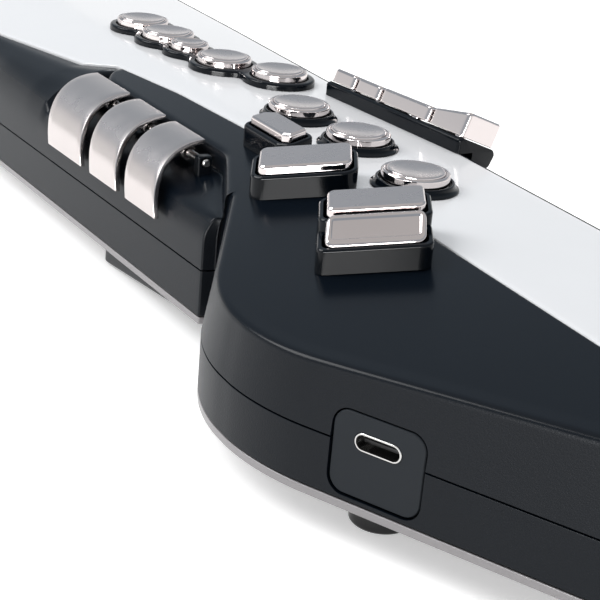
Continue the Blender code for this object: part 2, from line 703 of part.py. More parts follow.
def flat_key(name, outline, frame, back=FLAT_KEY_HEIGHT, front=FLAT_KEY_HEIGHT, travel=KEY_TRAVEL,
             stem=STEM_RADIUS, depth=STEM_LENGTH):
    """A key with a flat top of any outline, on a stem; it returns the cutter for the stem's hole."""
    origin, turn = frame
    base = travel + 2 * GAP
    centre = tuple(sum(axis) / len(outline) for axis in zip(*outline))
    count = len(outline)
    ways = [math.atan2(v - centre[1], u - centre[0]) for u, v in outline]
    post = [(centre[0] + stem * math.cos(a), centre[1] + stem * math.sin(a)) for a in ways]
    near = min(v for _, v in outline)
    far = max(v for _, v in outline)

    def top(v):
        return front + (back - front) * (v - near) / (far - near)
    inner = pushed(outline, -0.5 * MM)
    rings = [
        [(*point, -depth) for point in post],
        [(*point, base) for point in post],
        [(*point, base) for point in outline],
        [(u, v, top(v) - 0.5 * MM) for u, v in outline],
        [(inner[i][0], inner[i][1], top(outline[i][1])) for i in range(count)],
    ]
    place(name, loft(name, rings), CHROME, origin, turn)
    hole = turned(f"{name}_hole", ((stem + GAP, -9 * MM), (stem + GAP, 4 * MM)), 12)
    hole.transform(Matrix.Translation((*centre, 0)))
    return hole


def tray(name, outline, frame, height=TRAY_HEIGHT):
    """A block under a flat key whose underside follows the top surface a gap above it."""
    origin, turn = frame
    piece = place(name, prism(name, outline, -3 * MM, height), BLACK, origin, turn)
    reach = max(math.hypot(*point) for point in outline) + GAP
    edges = [(origin[1] + side * reach, origin[0] - reach, origin[0] + reach) for side in (-1, 1)]
    cut(piece, strip("under_tray", edges, -12 * MM, GAP))
    return piece


# Low keys: one tray, turned to the little finger, holds a flat bar at the back and a sloping one in front
tray_width = BAR_KEY_WIDTH + 2 * TRAY_MARGIN
pair_frame = surface(*PAIR_ORIGIN, LOW_KEY_TURN)
pair_outline = rounded_outline(tray_width, PAIR_DEPTH, 2 * MM, (tray_width / 2, PAIR_DEPTH / 2))
low_key_tray = place("low_key_tray", prism("low_key_tray", pair_outline, GAP, TRAY_HEIGHT), BLACK, *pair_frame)
raised_start = BACK_KEY_START - 2 * GAP
raised_depth = PAIR_DEPTH - raised_start
join(low_key_tray, prism("raised_part", rounded_outline(
    tray_width - GAP, raised_depth, 1.9 * MM, (tray_width / 2, raised_start + raised_depth / 2 - GAP / 2),
), TRAY_HEIGHT - 1 * MM, TRAY_HEIGHT + PAIR_STEP), *pair_frame)
for name, start, depth, back, front in (
    ("low_e_flat_key", BACK_KEY_START, BACK_KEY_DEPTH, PAIR_KEY_HEIGHT, PAIR_KEY_HEIGHT),
    ("low_c_key", FRONT_KEY_START, FRONT_KEY_DEPTH, PAIR_KEY_HEIGHT - 0.2 * MM, TRAY_HEIGHT + 0.6 * MM),
):
    outline = rounded_outline(BAR_KEY_WIDTH, depth, BAR_KEY_CORNER, (tray_width / 2, start + depth / 2))
    hole = flat_key(name, outline, pair_frame, back, front)
    cut(upper_shell, hole, *pair_frame)
    cut(low_key_tray, prism(f"{name}_well", pushed(outline, GAP), -1 * MM, PAIR_KEY_HEIGHT), *pair_frame)

# Trill key in its own tray, and a six-sided key behind it, both half on the shell and half on the panel
trill_frame = surface(*TRILL_CENTRE, TRILL_KEY_TURN)
hex_frame = surface(*HEX_CENTRE)
for name, tray_name, outline, tray_outline, frame in (
    ("trill_key", "trill_key_tray", rounded_outline(TRILL_KEY_WIDTH, TRILL_KEY_DEPTH, TRILL_KEY_CORNER),
     rounded_outline(TRILL_KEY_WIDTH + 2 * TRAY_MARGIN, TRILL_KEY_DEPTH + 2 * TRAY_MARGIN, 2.4 * MM), trill_frame),
    ("side_f_sharp_key", "side_f_sharp_tray", [(u * MM, v * MM) for u, v in HEX_CORNERS],
     pushed([(u * MM, v * MM) for u, v in HEX_CORNERS], TRAY_MARGIN), hex_frame),
):
    holder = tray(tray_name, tray_outline, frame)
    hole = flat_key(name, outline, frame)
    for piece in (upper_shell, front_panel):
        cut(piece, hole, *frame)
    cut(holder, prism(f"{name}_well", pushed(outline, 1.6 * GAP), -5 * MM, FLAT_KEY_HEIGHT), *frame)


def axes(across, upright):
    """The rotation whose Z is upright and whose X is across."""
    z = Vector(upright).normalized()
    x = Vector(across)
    x = (x - z * x.dot(z)).normalized()
    return Matrix((x, z.cross(x), z)).transposed()


# Side keys: three hooked plates side by side, which swing on one rod under the wing's edge

def side_rod_point(s):
    reach = wing_edge(s)
    return Vector((-reach - SIDE_ROD_REACH, s, top_height(-reach, s) - BAY_DEPTH + SIDE_ROD_RISE))


def side_key_ring(top_station):
    """A hooked cross-section: a superellipse from the wing's edge over to the wall, leaning to the bell below."""
    reach = wing_edge(top_station)
    start = (-reach - SIDE_KEY_CLEARANCE, top_height(-reach, top_station) + SIDE_KEY_RISE)
    low = top_station - SIDE_KEY_LEAN
    end = (-left_wall(low) - SIDE_KEY_CLEARANCE - SIDE_KEY_THICKNESS, SIDE_KEY_BOTTOM)
    power = 2 / SIDE_KEY_SQUARENESS
    outer = []
    for step in range(SIDE_KEY_STEPS):
        angle = math.pi / 2 * step / (SIDE_KEY_STEPS - 1)
        across = math.sin(angle) ** power
        down = 1 - math.cos(angle) ** power if step < SIDE_KEY_STEPS - 1 else 1.0
        lean = step / (SIDE_KEY_STEPS - 1)
        outer.append(Vector((
            start[0] + (end[0] - start[0]) * across,
            top_station - SIDE_KEY_LEAN * lean,
            start[1] + (end[1] - start[1]) * down,
        )))
    inner = []
    for step in range(SIDE_KEY_STEPS):
        ahead = outer[min(step + 1, SIDE_KEY_STEPS - 1)] - outer[max(step - 1, 0)]
        away = Vector((-ahead.z, 0, ahead.x)).normalized()
        inner.append(outer[step] + away * SIDE_KEY_THICKNESS)
    return [tuple(point) for point in outer + inner[::-1]]


side_axis = (side_rod_point(BAY_END) - side_rod_point(BAY_START)).normalized()
rod_turn = axes((1, 0, 0), side_axis)
rod_start = SIDE_KEYS[0][1] - 5.6 * MM
rod_end = BAY_END - 0.4 * MM
for station in (rod_start + 1 * MM, rod_end - POST_LENGTH - 0.4 * MM):
    foot = side_rod_point(station)
    post = block("rod_post", POST_WIDTH, POST_LENGTH, -2.9 * MM, 1.5 * MM, 0.5 * MM, 0.3 * MM)
    join(upper_shell, post, foot + Vector((0, POST_LENGTH / 2, 0)))
rod_length = (side_rod_point(rod_end) - side_rod_point(rod_start)).length
cut(upper_shell, rod("rod_bore", SIDE_ROD_RADIUS + GAP, rod_length), side_rod_point(rod_start), rod_turn)
place("side_key_rod", rod("side_key_rod", SIDE_ROD_RADIUS, rod_length - 2 * GAP, 12), STEEL,
      side_rod_point(rod_start) + side_axis * GAP, rod_turn)
for name, near, far in SIDE_KEYS:
    anchor = side_rod_point((near + far) / 2)
    plate = loft(name, [side_key_ring(near), side_key_ring((near + far) / 2), side_key_ring(far)])
    plate.transform(Matrix.Translation(-anchor))
    key = place(name, plate, CHROME, anchor)
    hub_length = (far - near) / 2
    hub = turned("hub", ((SIDE_HUB_RADIUS, -hub_length / 2), (SIDE_HUB_RADIUS, hub_length / 2)), 12)
    join(key, hub, anchor, rod_turn)
    web = block("web", 2.4 * MM, hub_length - 1 * MM, 1.2 * MM, 3.4 * MM, 0.5 * MM, 0.2 * MM)
    join(key, web, anchor)
    bore = turned("bore", ((SIDE_ROD_RADIUS + GAP, -20 * MM), (SIDE_ROD_RADIUS + GAP, 20 * MM)), 12)
    cut(key, bore, anchor, rod_turn)

# Left little finger's pod with its four keys
lean_along, lean_down = math.cos(CLUSTER_LEAN), math.sin(CLUSTER_LEAN)
turn_along, turn_across = math.cos(CLUSTER_TURN), math.sin(CLUSTER_TURN)
pod_across = Vector((lean_along * turn_along, lean_along * turn_across, -lean_down))
pod_along = Vector((-turn_across, turn_along, TOP_RISE)).normalized()
pod_upright = pod_across.cross(pod_along).normalized()
pod_turn = axes(pod_across, pod_upright)
pod_start_u = CLUSTER_REACH - CLUSTER_OVERHANG - CLUSTER_TOP_WIDTH * lean_along
pod_origin = (pod_start_u, CLUSTER_START, top_height(pod_start_u, CLUSTER_START) + CLUSTER_TOP_RISE)
rings = []
for share, shrink in ((0.0, 0.9), (0.014, 1.0), (0.986, 1.0), (1.0, 0.9)):
    centre = (6.5 * MM, -2.2 * MM)
    ring = [between(centre, (w * MM, n * MM), shrink) for w, n in POD_SECTION]
    rings.append([(w, share * CLUSTER_LENGTH, n) for w, n in ring])
cluster_base = place("cluster_base", loft("cluster_base", rings), BLACK, pod_origin, pod_turn)
under_pod = [(s, 0.0, right_wall(s) + GAP) for s in (CLUSTER_START - 5 * MM, CLUSTER_START + CLUSTER_LENGTH + 5 * MM)]
cut(cluster_base, strip("under_pod", under_pod, -14 * MM, GAP))
for name, start, length, back, front in CLUSTER_KEYS:
    middle = (CLUSTER_TOP_WIDTH / 2 - 0.1 * MM, (start + length / 2) * CLUSTER_LENGTH)
    outline = rounded_outline(CLUSTER_KEY_WIDTH, length * CLUSTER_LENGTH, 1.0 * MM, middle)
    hole = flat_key(name, outline, (pod_origin, pod_turn), back, front, CLUSTER_TRAVEL,
                    CLUSTER_STEM_RADIUS, CLUSTER_STEM_LENGTH)
    for piece in (cluster_base, upper_shell, front_panel):
        cut(piece, hole, pod_origin, pod_turn)

# Palm keys: three push keys along the right wall
wall_turn = axes((0, 1, 0), (1, 0, 0))
for name, s in PALM_KEYS:
    frame = ((right_wall(s), s, PALM_KEY_LEVEL), wall_turn)
    outline = rounded_outline(PALM_KEY_LENGTH, PALM_KEY_HEIGHT, 2 * MM)
    cut(upper_shell, flat_key(name, outline, frame, PALM_PROUD, PALM_PROUD, PALM_TRAVEL, depth=4 * MM), *frame)

# Battery well: its cover hangs under the back plate, widens and deepens towards the neck, and swings down there
cover_middle = BATTERY_COVER_START + BATTERY_COVER_LENGTH / 2
plate_bottom = -LOWER_HEIGHT - PLATE_THICKNESS
well = block("well", 2 * WELL_HALF_WIDTH, BATTERY_COVER_LENGTH - 2 * MM, -20 * MM, -5 * MM, 2 * MM)
for piece in (lower_shell, back_plate):
    cut(piece, well, (0, cover_middle, 0))
cover_hinge = (0, BATTERY_COVER_START + BATTERY_COVER_LENGTH, plate_bottom - GAP)


def cover_ring(inset, level, deep=True):
    """The cover's outline moved inwards, at a level above its sloping underside or, if not deep, above its rim."""
    ring = []
    for u, s in rounded_outline(2.0, BATTERY_COVER_LENGTH - 2 * inset, 0.1 * MM, (0.0, -BATTERY_COVER_LENGTH / 2)):
        share = 1 + s / BATTERY_COVER_LENGTH
        half = BATTERY_COVER_NEAR_HALF_WIDTH + (BATTERY_COVER_FAR_HALF_WIDTH - BATTERY_COVER_NEAR_HALF_WIDTH) * share
        depth = BATTERY_COVER_NEAR_DEPTH + (BATTERY_COVER_FAR_DEPTH - BATTERY_COVER_NEAR_DEPTH) * share
        ring.append((u * (half - inset), s, level - depth if deep else level))
    return ring


place("battery_cover", loft("battery_cover", [
    cover_ring(BATTERY_COVER_WALL, BATTERY_COVER_WALL), cover_ring(BATTERY_COVER_WALL, 0.0, deep=False),
    cover_ring(0.0, 0.0, deep=False), cover_ring(0.0, 0.8 * MM), cover_ring(0.8 * MM, 0.0),
]), BLACK, cover_hinge)


def cell_outline():
    """Round cells side by side, joined by a thin sleeve between them."""
    radius = CELL_DIAMETER / 2
    upper = []
    for index in range(CELL_COUNT):
        middle = (index - (CELL_COUNT - 1) / 2) * CELL_DIAMETER
        for angle in np.linspace(math.radians(170), math.radians(10), 7):
            upper.append((middle + radius * math.cos(angle), radius * math.sin(angle)))
    return upper + [(u, -h) for u, h in reversed(upper)]


cell_level = cover_hinge[2] + CELL_DIAMETER / 2
cells = loft("battery_pack", [[(u, s, h) for u, h in cell_outline()] for s in (-CELL_LENGTH / 2, CELL_LENGTH / 2)])
place("battery_pack", cells, CELL, (0, cover_middle, cell_level))

# Boards, speakers and the breath sensor inside
stations = [(s * MM, -left * MM, right_wall(s * MM) - BOARD_MARGIN) for s, left in BOARD_STATIONS]
place("key_board", strip("key_board", stations, -BOARD_DEPTH - BOARD_THICKNESS, -BOARD_DEPTH, 0.3 * MM), BOARD)
main_board = place("main_board", block(
    "main_board", MAIN_BOARD_WIDTH, MAIN_BOARD_LENGTH, 0.0, BOARD_THICKNESS, 2 * MM, 0.2 * MM,
), BOARD, (0, MAIN_BOARD_START + MAIN_BOARD_LENGTH / 2, MAIN_BOARD_LEVEL))
spacer_length = MAIN_BOARD_LEVEL - (WALL - LOWER_HEIGHT) - GAP
for across in (-1, 1):
    for along in (0.04, 0.96):
        spacer = turned("spacer", ((2.5 * MM, -spacer_length), (2.5 * MM, 0.8 * MM)), 10)
        join(main_board, spacer, (
            across * (MAIN_BOARD_WIDTH / 2 - 4 * MM),
            MAIN_BOARD_START + along * MAIN_BOARD_LENGTH,
            MAIN_BOARD_LEVEL,
        ))
for name, u, s in SPEAKERS:
    profile = (
        (SPEAKER_RADIUS, 0.0), (SPEAKER_RADIUS, 2 * MM), (SPEAKER_RADIUS * 0.6, SPEAKER_HEIGHT * 0.6),
        (SPEAKER_RADIUS * 0.6, SPEAKER_HEIGHT),
    )
    place(name, turned(name, profile, 20), STEEL, (u, s, WALL - LOWER_HEIGHT + GAP))
    for row in range(-2, 3):
        reach = 2 * math.sqrt(SPEAKER_RADIUS ** 2 - (row * SLOT_PITCH) ** 2) - 5 * MM
        corners = [(x * reach / 2, y * SLOT_WIDTH / 2) for x, y in ((1, 1), (-1, 1), (-1, -1), (1, -1))]
        slot = prism("slot", corners, -14 * MM, -7 * MM)
        for piece in (lower_shell, back_plate):
            cut(piece, slot, (u, s + row * SLOT_PITCH, 0))
place("breath_sensor", block("breath_sensor", SENSOR_WIDTH, SENSOR_DEPTH, 0.0, SENSOR_HEIGHT, 1 * MM), BOARD,
      (0, BODY_LENGTH - WALL - GAP - SENSOR_DEPTH / 2, NECK_HEIGHT - 5 * MM))

# Jack plate and socket on the left wall of the bell, straddling the seam
bell_tangent = math.pi / 2 - BELL_ANGLE
bell_turn = axes((math.sin(BELL_ANGLE), -math.cos(BELL_ANGLE), 0), (-math.cos(BELL_ANGLE), -math.sin(BELL_ANGLE), 0))


def bell_wall(s):
    """How far from the centre line the straight wall of the bell lies."""
    tip_u = TIP_RADIUS * math.sin(bell_tangent)
    tip_s = TIP_RADIUS * (1 - math.cos(bell_tangent))
    return tip_u + (s - tip_s) * math.tan(BELL_ANGLE)


jack_origin = (-bell_wall(USB_STATION), USB_STATION, 0)
plate_outline = rounded_outline(JACK_PLATE_WIDTH, JACK_PLATE_HEIGHT, 3 * MM, (0.0, JACK_PLATE_RISE))
for piece in (upper_shell, lower_shell):
    cut(piece, prism("window", pushed(plate_outline, GAP), -3.4 * MM, 2 * MM), jack_origin, bell_turn)
jack_plate = place("jack_plate", prism(
    "jack_plate", plate_outline, -0.25 * MM - JACK_PLATE_THICKNESS, -0.25 * MM), BLACK, jack_origin, bell_turn)


def stadium(width, height, sides=20):
    points = []
    for k in range(sides):
        angle = 2 * math.pi * (k + 0.5) / sides
        radius = height / 2
        middle = math.copysign(width / 2 - radius, math.cos(angle))
        points.append((middle + radius * math.cos(angle), USB_RISE + radius * math.sin(angle)))
    return points


cut(jack_plate, prism("usb_hole", stadium(USB_WIDTH + 2 * GAP, USB_HEIGHT + 2 * GAP), -4 * MM, 2 * MM),
    jack_origin, bell_turn)
socket_back = -0.1 * MM - USB_DEPTH
usb_socket = place("usb_socket", prism(
    "usb_socket", stadium(USB_WIDTH, USB_HEIGHT), socket_back, -0.1 * MM), STEEL, jack_origin, bell_turn)
cavity = stadium(USB_WIDTH - 2 * USB_WALL, USB_HEIGHT - 2 * USB_WALL)
cut(usb_socket, prism("usb_cavity", cavity, socket_back + 1 * MM, 2 * MM), jack_origin, bell_turn)
tongue = rounded_outline(6.69 * MM, 0.7 * MM, 0.2 * MM, (0.0, USB_RISE))
join(usb_socket, prism("usb_tongue", tongue, socket_back + 0.7 * MM, -1.3 * MM), jack_origin, bell_turn)

# Phones jack on the right wall of the bell
phones_origin = (bell_wall(PHONES_STATION), PHONES_STATION, -0.4 * MM - PHONES_RADIUS)
phones_turn = axes((math.sin(BELL_ANGLE), math.cos(BELL_ANGLE), 0), (math.cos(BELL_ANGLE), -math.sin(BELL_ANGLE), 0))
cut(lower_shell, turned("phones_hole", ((PHONES_RADIUS + GAP, -6 * MM), (PHONES_RADIUS + GAP, 3 * MM)), 20),
    phones_origin, phones_turn)
phones_jack = place("phones_jack", turned(
    "phones_jack", ((PHONES_RADIUS, -12 * MM), (PHONES_RADIUS, 0.2 * MM), (PHONES_RADIUS - 0.4 * MM, 0.6 * MM)), 20,
), STEEL, phones_origin, phones_turn)
cut(phones_jack, turned("phones_bore", ((PHONES_BORE_RADIUS, -10 * MM), (PHONES_BORE_RADIUS, 3 * MM)), 16),
    phones_origin, phones_turn)

# Rubber feet
foot_top = FOOT_HEIGHT - GAP
for name, place_of_foot in (("bell_foot_left", LEFT_FOOT), ("bell_foot_right", RIGHT_FOOT)):
    profile = ((FOOT_RADIUS - 0.6 * MM, 0.0), (FOOT_RADIUS, 0.6 * MM), (FOOT_RADIUS, foot_top))
    place(name, turned(name, profile, 24), RUBBER, (*place_of_foot, -SEAM_Z))
foot = block("neck_foot", NECK_FOOT_WIDTH, NECK_FOOT_DEPTH, 0.0, foot_top, 3 * MM, 0.3 * MM)
place("neck_foot", foot, RUBBER, (0, NECK_FOOT_STATION, -SEAM_Z))

# Rear of the body: octave keys, buttons, display, thumb rest and strap ring
rear_turn = axes((1, 0, 0), (0, 0, -1))
for name, s in OCTAVE_STATIONS:
    frame = ((0, s, plate_bottom), rear_turn)
    outline = rounded_outline(OCTAVE_KEY_WIDTH, OCTAVE_KEY_DEPTH, 2 * MM)
    hole = flat_key(name, outline, frame, OCTAVE_PROUD, OCTAVE_PROUD, OCTAVE_TRAVEL, depth=5 * MM)
    for piece in (lower_shell, back_plate):
        cut(piece, hole, *frame)
for name, u in BUTTONS:
    spot = (u, BUTTON_STATION, plate_bottom)
    profile = ((BUTTON_RADIUS, -3.4 * MM), (BUTTON_RADIUS, 0.9 * MM), (BUTTON_RADIUS - 0.4 * MM, 1.3 * MM))
    place(name, turned(name, profile, 20), SILVER, spot, rear_turn)
    hole = turned("button_hole", ((BUTTON_RADIUS + GAP, -6 * MM), (BUTTON_RADIUS + GAP, 3 * MM)), 20)
    for piece in (lower_shell, back_plate):
        cut(piece, hole, spot, rear_turn)
window = rounded_outline(DISPLAY_WIDTH, DISPLAY_DEPTH, 1.5 * MM)
display_spot = (0, DISPLAY_STATION, plate_bottom)
cut(back_plate, prism("display_opening", pushed(window, GAP), -3 * MM, 2 * MM), display_spot, rear_turn)
place("display_window", prism("display_window", window, -PLATE_THICKNESS + GAP, -0.1 * MM), GLASS,
      display_spot, rear_turn)

rest = loft("thumb_rest", [
    [(u, s * REST_HALF_LENGTH, h * REST_DEPTH) for s, h in REST_PROFILE] for u in (-REST_HALF_WIDTH, REST_HALF_WIDTH)
])
place("thumb_rest", rest, RUBBER, (0, REST_STATION, plate_bottom - GAP))

ring_level = plate_bottom - RING_WIRE - 2 * GAP
for side in (-1, 1):
    ear = block("ear", 2.4 * MM, 5.4 * MM, -2 * MM - RING_WIRE, 2.4 * MM, 0.8 * MM, 0.2 * MM)
    join(back_plate, ear, (side * RING_EAR, RING_STATION, ring_level))
ear_bore = turned("ear_bore", ((RING_WIRE + GAP, -12 * MM), (RING_WIRE + GAP, 12 * MM)), 12)
cut(back_plate, ear_bore, (0, RING_STATION, ring_level), axes((0, 1, 0), (1, 0, 0)))


def ring_path():
    """The D shape: a straight bar through the ears, then half an ellipse."""
    path = [(x * (RING_HALF_WIDTH - RING_BEND), 0.0) for x in (-1, -0.4, 0.4, 1)]
    for step in range(11):
        angle = math.pi * step / 10
        path.append((RING_HALF_WIDTH * math.cos(angle), RING_BEND + (RING_DEPTH - RING_BEND) * math.sin(angle)))
    return path


path = ring_path()
rings = []
for index, (x, y) in enumerate(path):
    before = path[index - 1]
    after = path[(index + 1) % len(path)]
    way = Vector((after[0] - before[0], after[1] - before[1], 0)).normalized()
    side = Vector((way.y, -way.x, 0))
    rings.append([
        tuple(Vector((x, y, 0)) + side * RING_WIRE * math.cos(a) + Vector((0, 0, RING_WIRE * math.sin(a))))
        for a in (2 * math.pi * k / 8 for k in range(8))
    ])
place("strap_ring", loft("strap_ring", rings, joined=True), STEEL, (0, RING_STATION, ring_level))

# Neck collar, mouthpiece and bite plate
neck_turn = axes((1, 0, 0), (0, 1, 0))
collar_origin = (0, BODY_LENGTH, NECK_HEIGHT)
collar = place("neck_collar", turned("neck_collar", (
    (COLLAR_RADIUS - 1.5 * MM, GAP), (COLLAR_RADIUS, 1.8 * MM), (COLLAR_RADIUS, COLLAR_LENGTH - 3 * MM),
    (MOUTHPIECE_RADIUS + 1.0 * MM, COLLAR_LENGTH),
), 28), BLACK, collar_origin, neck_turn)
channel = turned("channel", ((AIR_CHANNEL_RADIUS, -8 * MM), (AIR_CHANNEL_RADIUS, COLLAR_LENGTH + 2 * MM)), 12)
for piece in (collar, upper_shell):
    cut(piece, channel, collar_origin, neck_turn)

mouth_origin = (0, BODY_LENGTH + COLLAR_LENGTH, NECK_HEIGHT)
mouth_turn = axes((1, 0, 0), (0, math.cos(MOUTHPIECE_TILT), -math.sin(MOUTHPIECE_TILT)))
rings = []
for z, half, top, bottom in MOUTH_SECTIONS:
    table = bottom * MM
    if z > REED_TABLE_START / MM:
        table = REED_TABLE - TIP_OPENING * (z * MM - REED_TABLE_START) / (MOUTHPIECE_LENGTH - REED_TABLE_START)
    middle = (top + bottom) / 2
    rise = (bottom - top) / 2
    ring = []
    for k in range(24):
        angle = 2 * math.pi * k / 24
        y = min((middle + rise * math.sin(angle)) * MM, table)
        ring.append((half * MM * math.cos(angle), y, z * MM))
    rings.append(ring)
mouthpiece = place("mouthpiece", loft("mouthpiece", rings), BLACK, mouth_origin, mouth_turn)
cut(mouthpiece, turned("mouth_channel", ((AIR_CHANNEL_RADIUS, -1 * MM), (AIR_CHANNEL_RADIUS, 74 * MM)), 12),
    mouth_origin, mouth_turn)
reed_window = block("reed_window", 7 * MM, 10 * MM, 68 * MM, 97 * MM, 1 * MM)
cut(mouthpiece, reed_window, Vector(mouth_origin) + mouth_turn @ Vector((0, 4.4 * MM, 0)), mouth_turn)
heel = Vector(mouth_origin) + mouth_turn @ Vector((0, REED_TABLE + GAP, BITE_PLATE_START))
reed_length = MOUTHPIECE_LENGTH - BITE_PLATE_START - 0.4 * MM
reed = loft("bite_plate", [
    [(x, y, z) for x, y in (
        (-half, 0.0), (half, 0.0), (half, thick * 0.6), (half * 0.6, thick), (-half * 0.6, thick), (-half, thick * 0.6),
    )]
    for z, half, thick in (
        (0.0, BITE_PLATE_WIDTH / 2 - 0.6 * MM, BITE_PLATE_THICKNESS),
        (reed_length * 0.45, BITE_PLATE_WIDTH / 2, BITE_PLATE_THICKNESS),
        (reed_length, BITE_PLATE_WIDTH / 2 - 0.2 * MM, 0.9 * MM),
    )
])
place("bite_plate", reed, RUBBER, heel, mouth_turn)
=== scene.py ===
"""The looks of a digital wind instrument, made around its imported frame.

Sizes are millimetres until a mesh is made. A place is (u, s, h): u across from the body's centre line,
s along the body from the bell's tip, h up from the seam between the two shells.
"""

import math

import bmesh
import bpy
import numpy as np
from mathutils import Euler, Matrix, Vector


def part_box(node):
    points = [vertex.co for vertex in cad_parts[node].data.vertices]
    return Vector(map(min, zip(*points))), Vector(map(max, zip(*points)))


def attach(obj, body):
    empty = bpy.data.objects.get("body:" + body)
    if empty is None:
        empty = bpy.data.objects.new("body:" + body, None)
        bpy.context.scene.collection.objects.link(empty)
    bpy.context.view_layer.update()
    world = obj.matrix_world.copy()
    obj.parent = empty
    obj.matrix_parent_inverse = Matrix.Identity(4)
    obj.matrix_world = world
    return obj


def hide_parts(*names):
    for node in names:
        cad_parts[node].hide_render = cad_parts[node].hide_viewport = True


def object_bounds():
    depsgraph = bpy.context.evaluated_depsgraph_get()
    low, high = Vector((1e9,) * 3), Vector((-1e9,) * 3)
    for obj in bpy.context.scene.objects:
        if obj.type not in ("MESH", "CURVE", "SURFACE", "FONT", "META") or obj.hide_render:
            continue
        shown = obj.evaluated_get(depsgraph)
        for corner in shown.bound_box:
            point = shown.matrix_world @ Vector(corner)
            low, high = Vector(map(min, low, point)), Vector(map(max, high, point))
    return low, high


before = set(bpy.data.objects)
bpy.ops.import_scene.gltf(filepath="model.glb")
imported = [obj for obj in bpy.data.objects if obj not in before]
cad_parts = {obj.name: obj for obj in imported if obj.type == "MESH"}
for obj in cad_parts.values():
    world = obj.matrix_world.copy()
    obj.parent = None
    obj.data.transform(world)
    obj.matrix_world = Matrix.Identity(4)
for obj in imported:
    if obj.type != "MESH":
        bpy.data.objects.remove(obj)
cad_box = [list(corner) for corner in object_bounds()]

# Upper shell: one black moulding that carries the keys. Its bell has a smooth top and a spark-eroded wall,
# its tube a rounded shoulder, and a bay is let into the left side for the side keys, under a wing that ends
# in a rounded tip. The front panel drops into its opening.
MM = 0.001
GAP = 0.3
WALL = 2.2
TIP_RADIUS = 20.0
BELL_ANGLE = math.radians(27.4)
FLANK_ANGLE = math.radians(29)
LOBE_RADIUS = 48.0
LOBE_CENTRE = np.array((-3.5, 88.0))
BODY_LENGTH = 440.0
NECK_HALF_WIDTH = 22.0
LEFT_WALL = ((133.0, 270.0, 330.0, 440.0), (32.9, 40.3, 40.3, 22.0))
RIGHT_WALL = ((140.0, 270.0, 330.0, 440.0), (34.8, 36.5, 36.5, 22.0))
WAIST = 139.3
NOTCH = (-29.9, 138.9)
BAY_END = 234.0
WING_EDGE = ((128.0, 134.6, 160.5, 234.0), (34.4, 30.9, 19.3, 22.6))
WING_TIP = 9.0
BAY_DEPTH = 5.2
PANEL_EDGE = ((110, 174, 205, 237, 246, 290, 330, 440), (5.8, 9.4, 11.8, 16.4, 23.0, 32.5, 34.5, 18.0))
PANEL_MARGIN = 3.0
PANEL_DEPTH = 2.5
NECK_MARGIN = 436.0
TOP_HEIGHT, TOP_FALL, TOP_RISE, CREST, CREST_SOFTNESS = 18.9, 0.194, 0.026, 6.5, 2.0
SEAM_LIP = 0.15

foot_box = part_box("neck_foot")
shell_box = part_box("lower_shell")
ORIGIN = np.array((
    (foot_box[0].x + foot_box[1].x) / 2, shell_box[0].y, shell_box[1].z + SEAM_LIP * MM,
))


def top_height(u, s):
    """A plane that rises to the neck and, left of a softened crest line, falls away to the side."""
    x = np.asarray(u, float) + CREST
    left = (x - np.sqrt(x ** 2 + CREST_SOFTNESS ** 2)) / 2
    return TOP_HEIGHT + TOP_FALL * (left - CREST) + TOP_RISE * np.asarray(s, float)


def unit(v):
    v = np.asarray(v, float)
    return v / np.maximum(np.linalg.norm(v, axis=-1, keepdims=True), 1e-9)


def rounded(corners, radii, spacing):
    """A closed line whose corners are arcs of the given radii, sampled about every spacing.

    Each arc starts and ends where it touches its two sides, at radius times the tangent of half the turn
    from the corner. The result is the points and, at each, the tangent turned a quarter to the left.
    """
    corners = np.asarray(corners, float)
    before = unit(corners - np.roll(corners, 1, axis=0))
    after = unit(np.roll(corners, -1, axis=0) - corners)
    turn = np.arctan2(before[:, 0] * after[:, 1] - before[:, 1] * after[:, 0], (before * after).sum(1))
    reach = np.asarray(radii, float) * np.tan(np.abs(turn) / 2)
    points, tangents = [], []
    for i, corner in enumerate(corners):
        start = corner - before[i] * reach[i]
        count = max(int(abs(turn[i]) * radii[i] / spacing), int(abs(turn[i]) / 0.16), 2)
        angle = np.linspace(0, turn[i], count + 1)
        heading = math.atan2(before[i][1], before[i][0])
        way = np.stack((np.cos(heading + angle), np.sin(heading + angle)), 1)
        side = math.copysign(radii[i], turn[i])
        centre = start + side * np.array((-before[i][1], before[i][0]))
        points.append(centre - side * np.stack((-way[:, 1], way[:, 0]), 1))
        tangents.append(way)
        j = (i + 1) % len(corners)
        end = corners[j] - before[j] * reach[j]
        leave = corner + after[i] * reach[i]
        steps = max(int(np.linalg.norm(end - leave) / spacing), 1)
        share = np.linspace(0, 1, steps + 1)[1:-1, None]
        points.append(leave + (end - leave) * share)
        tangents.append(np.repeat(after[i][None], len(share), 0))
    points, tangents = np.concatenate(points), np.concatenate(tangents)
    return points, np.stack((-tangents[:, 1], tangents[:, 0]), 1)


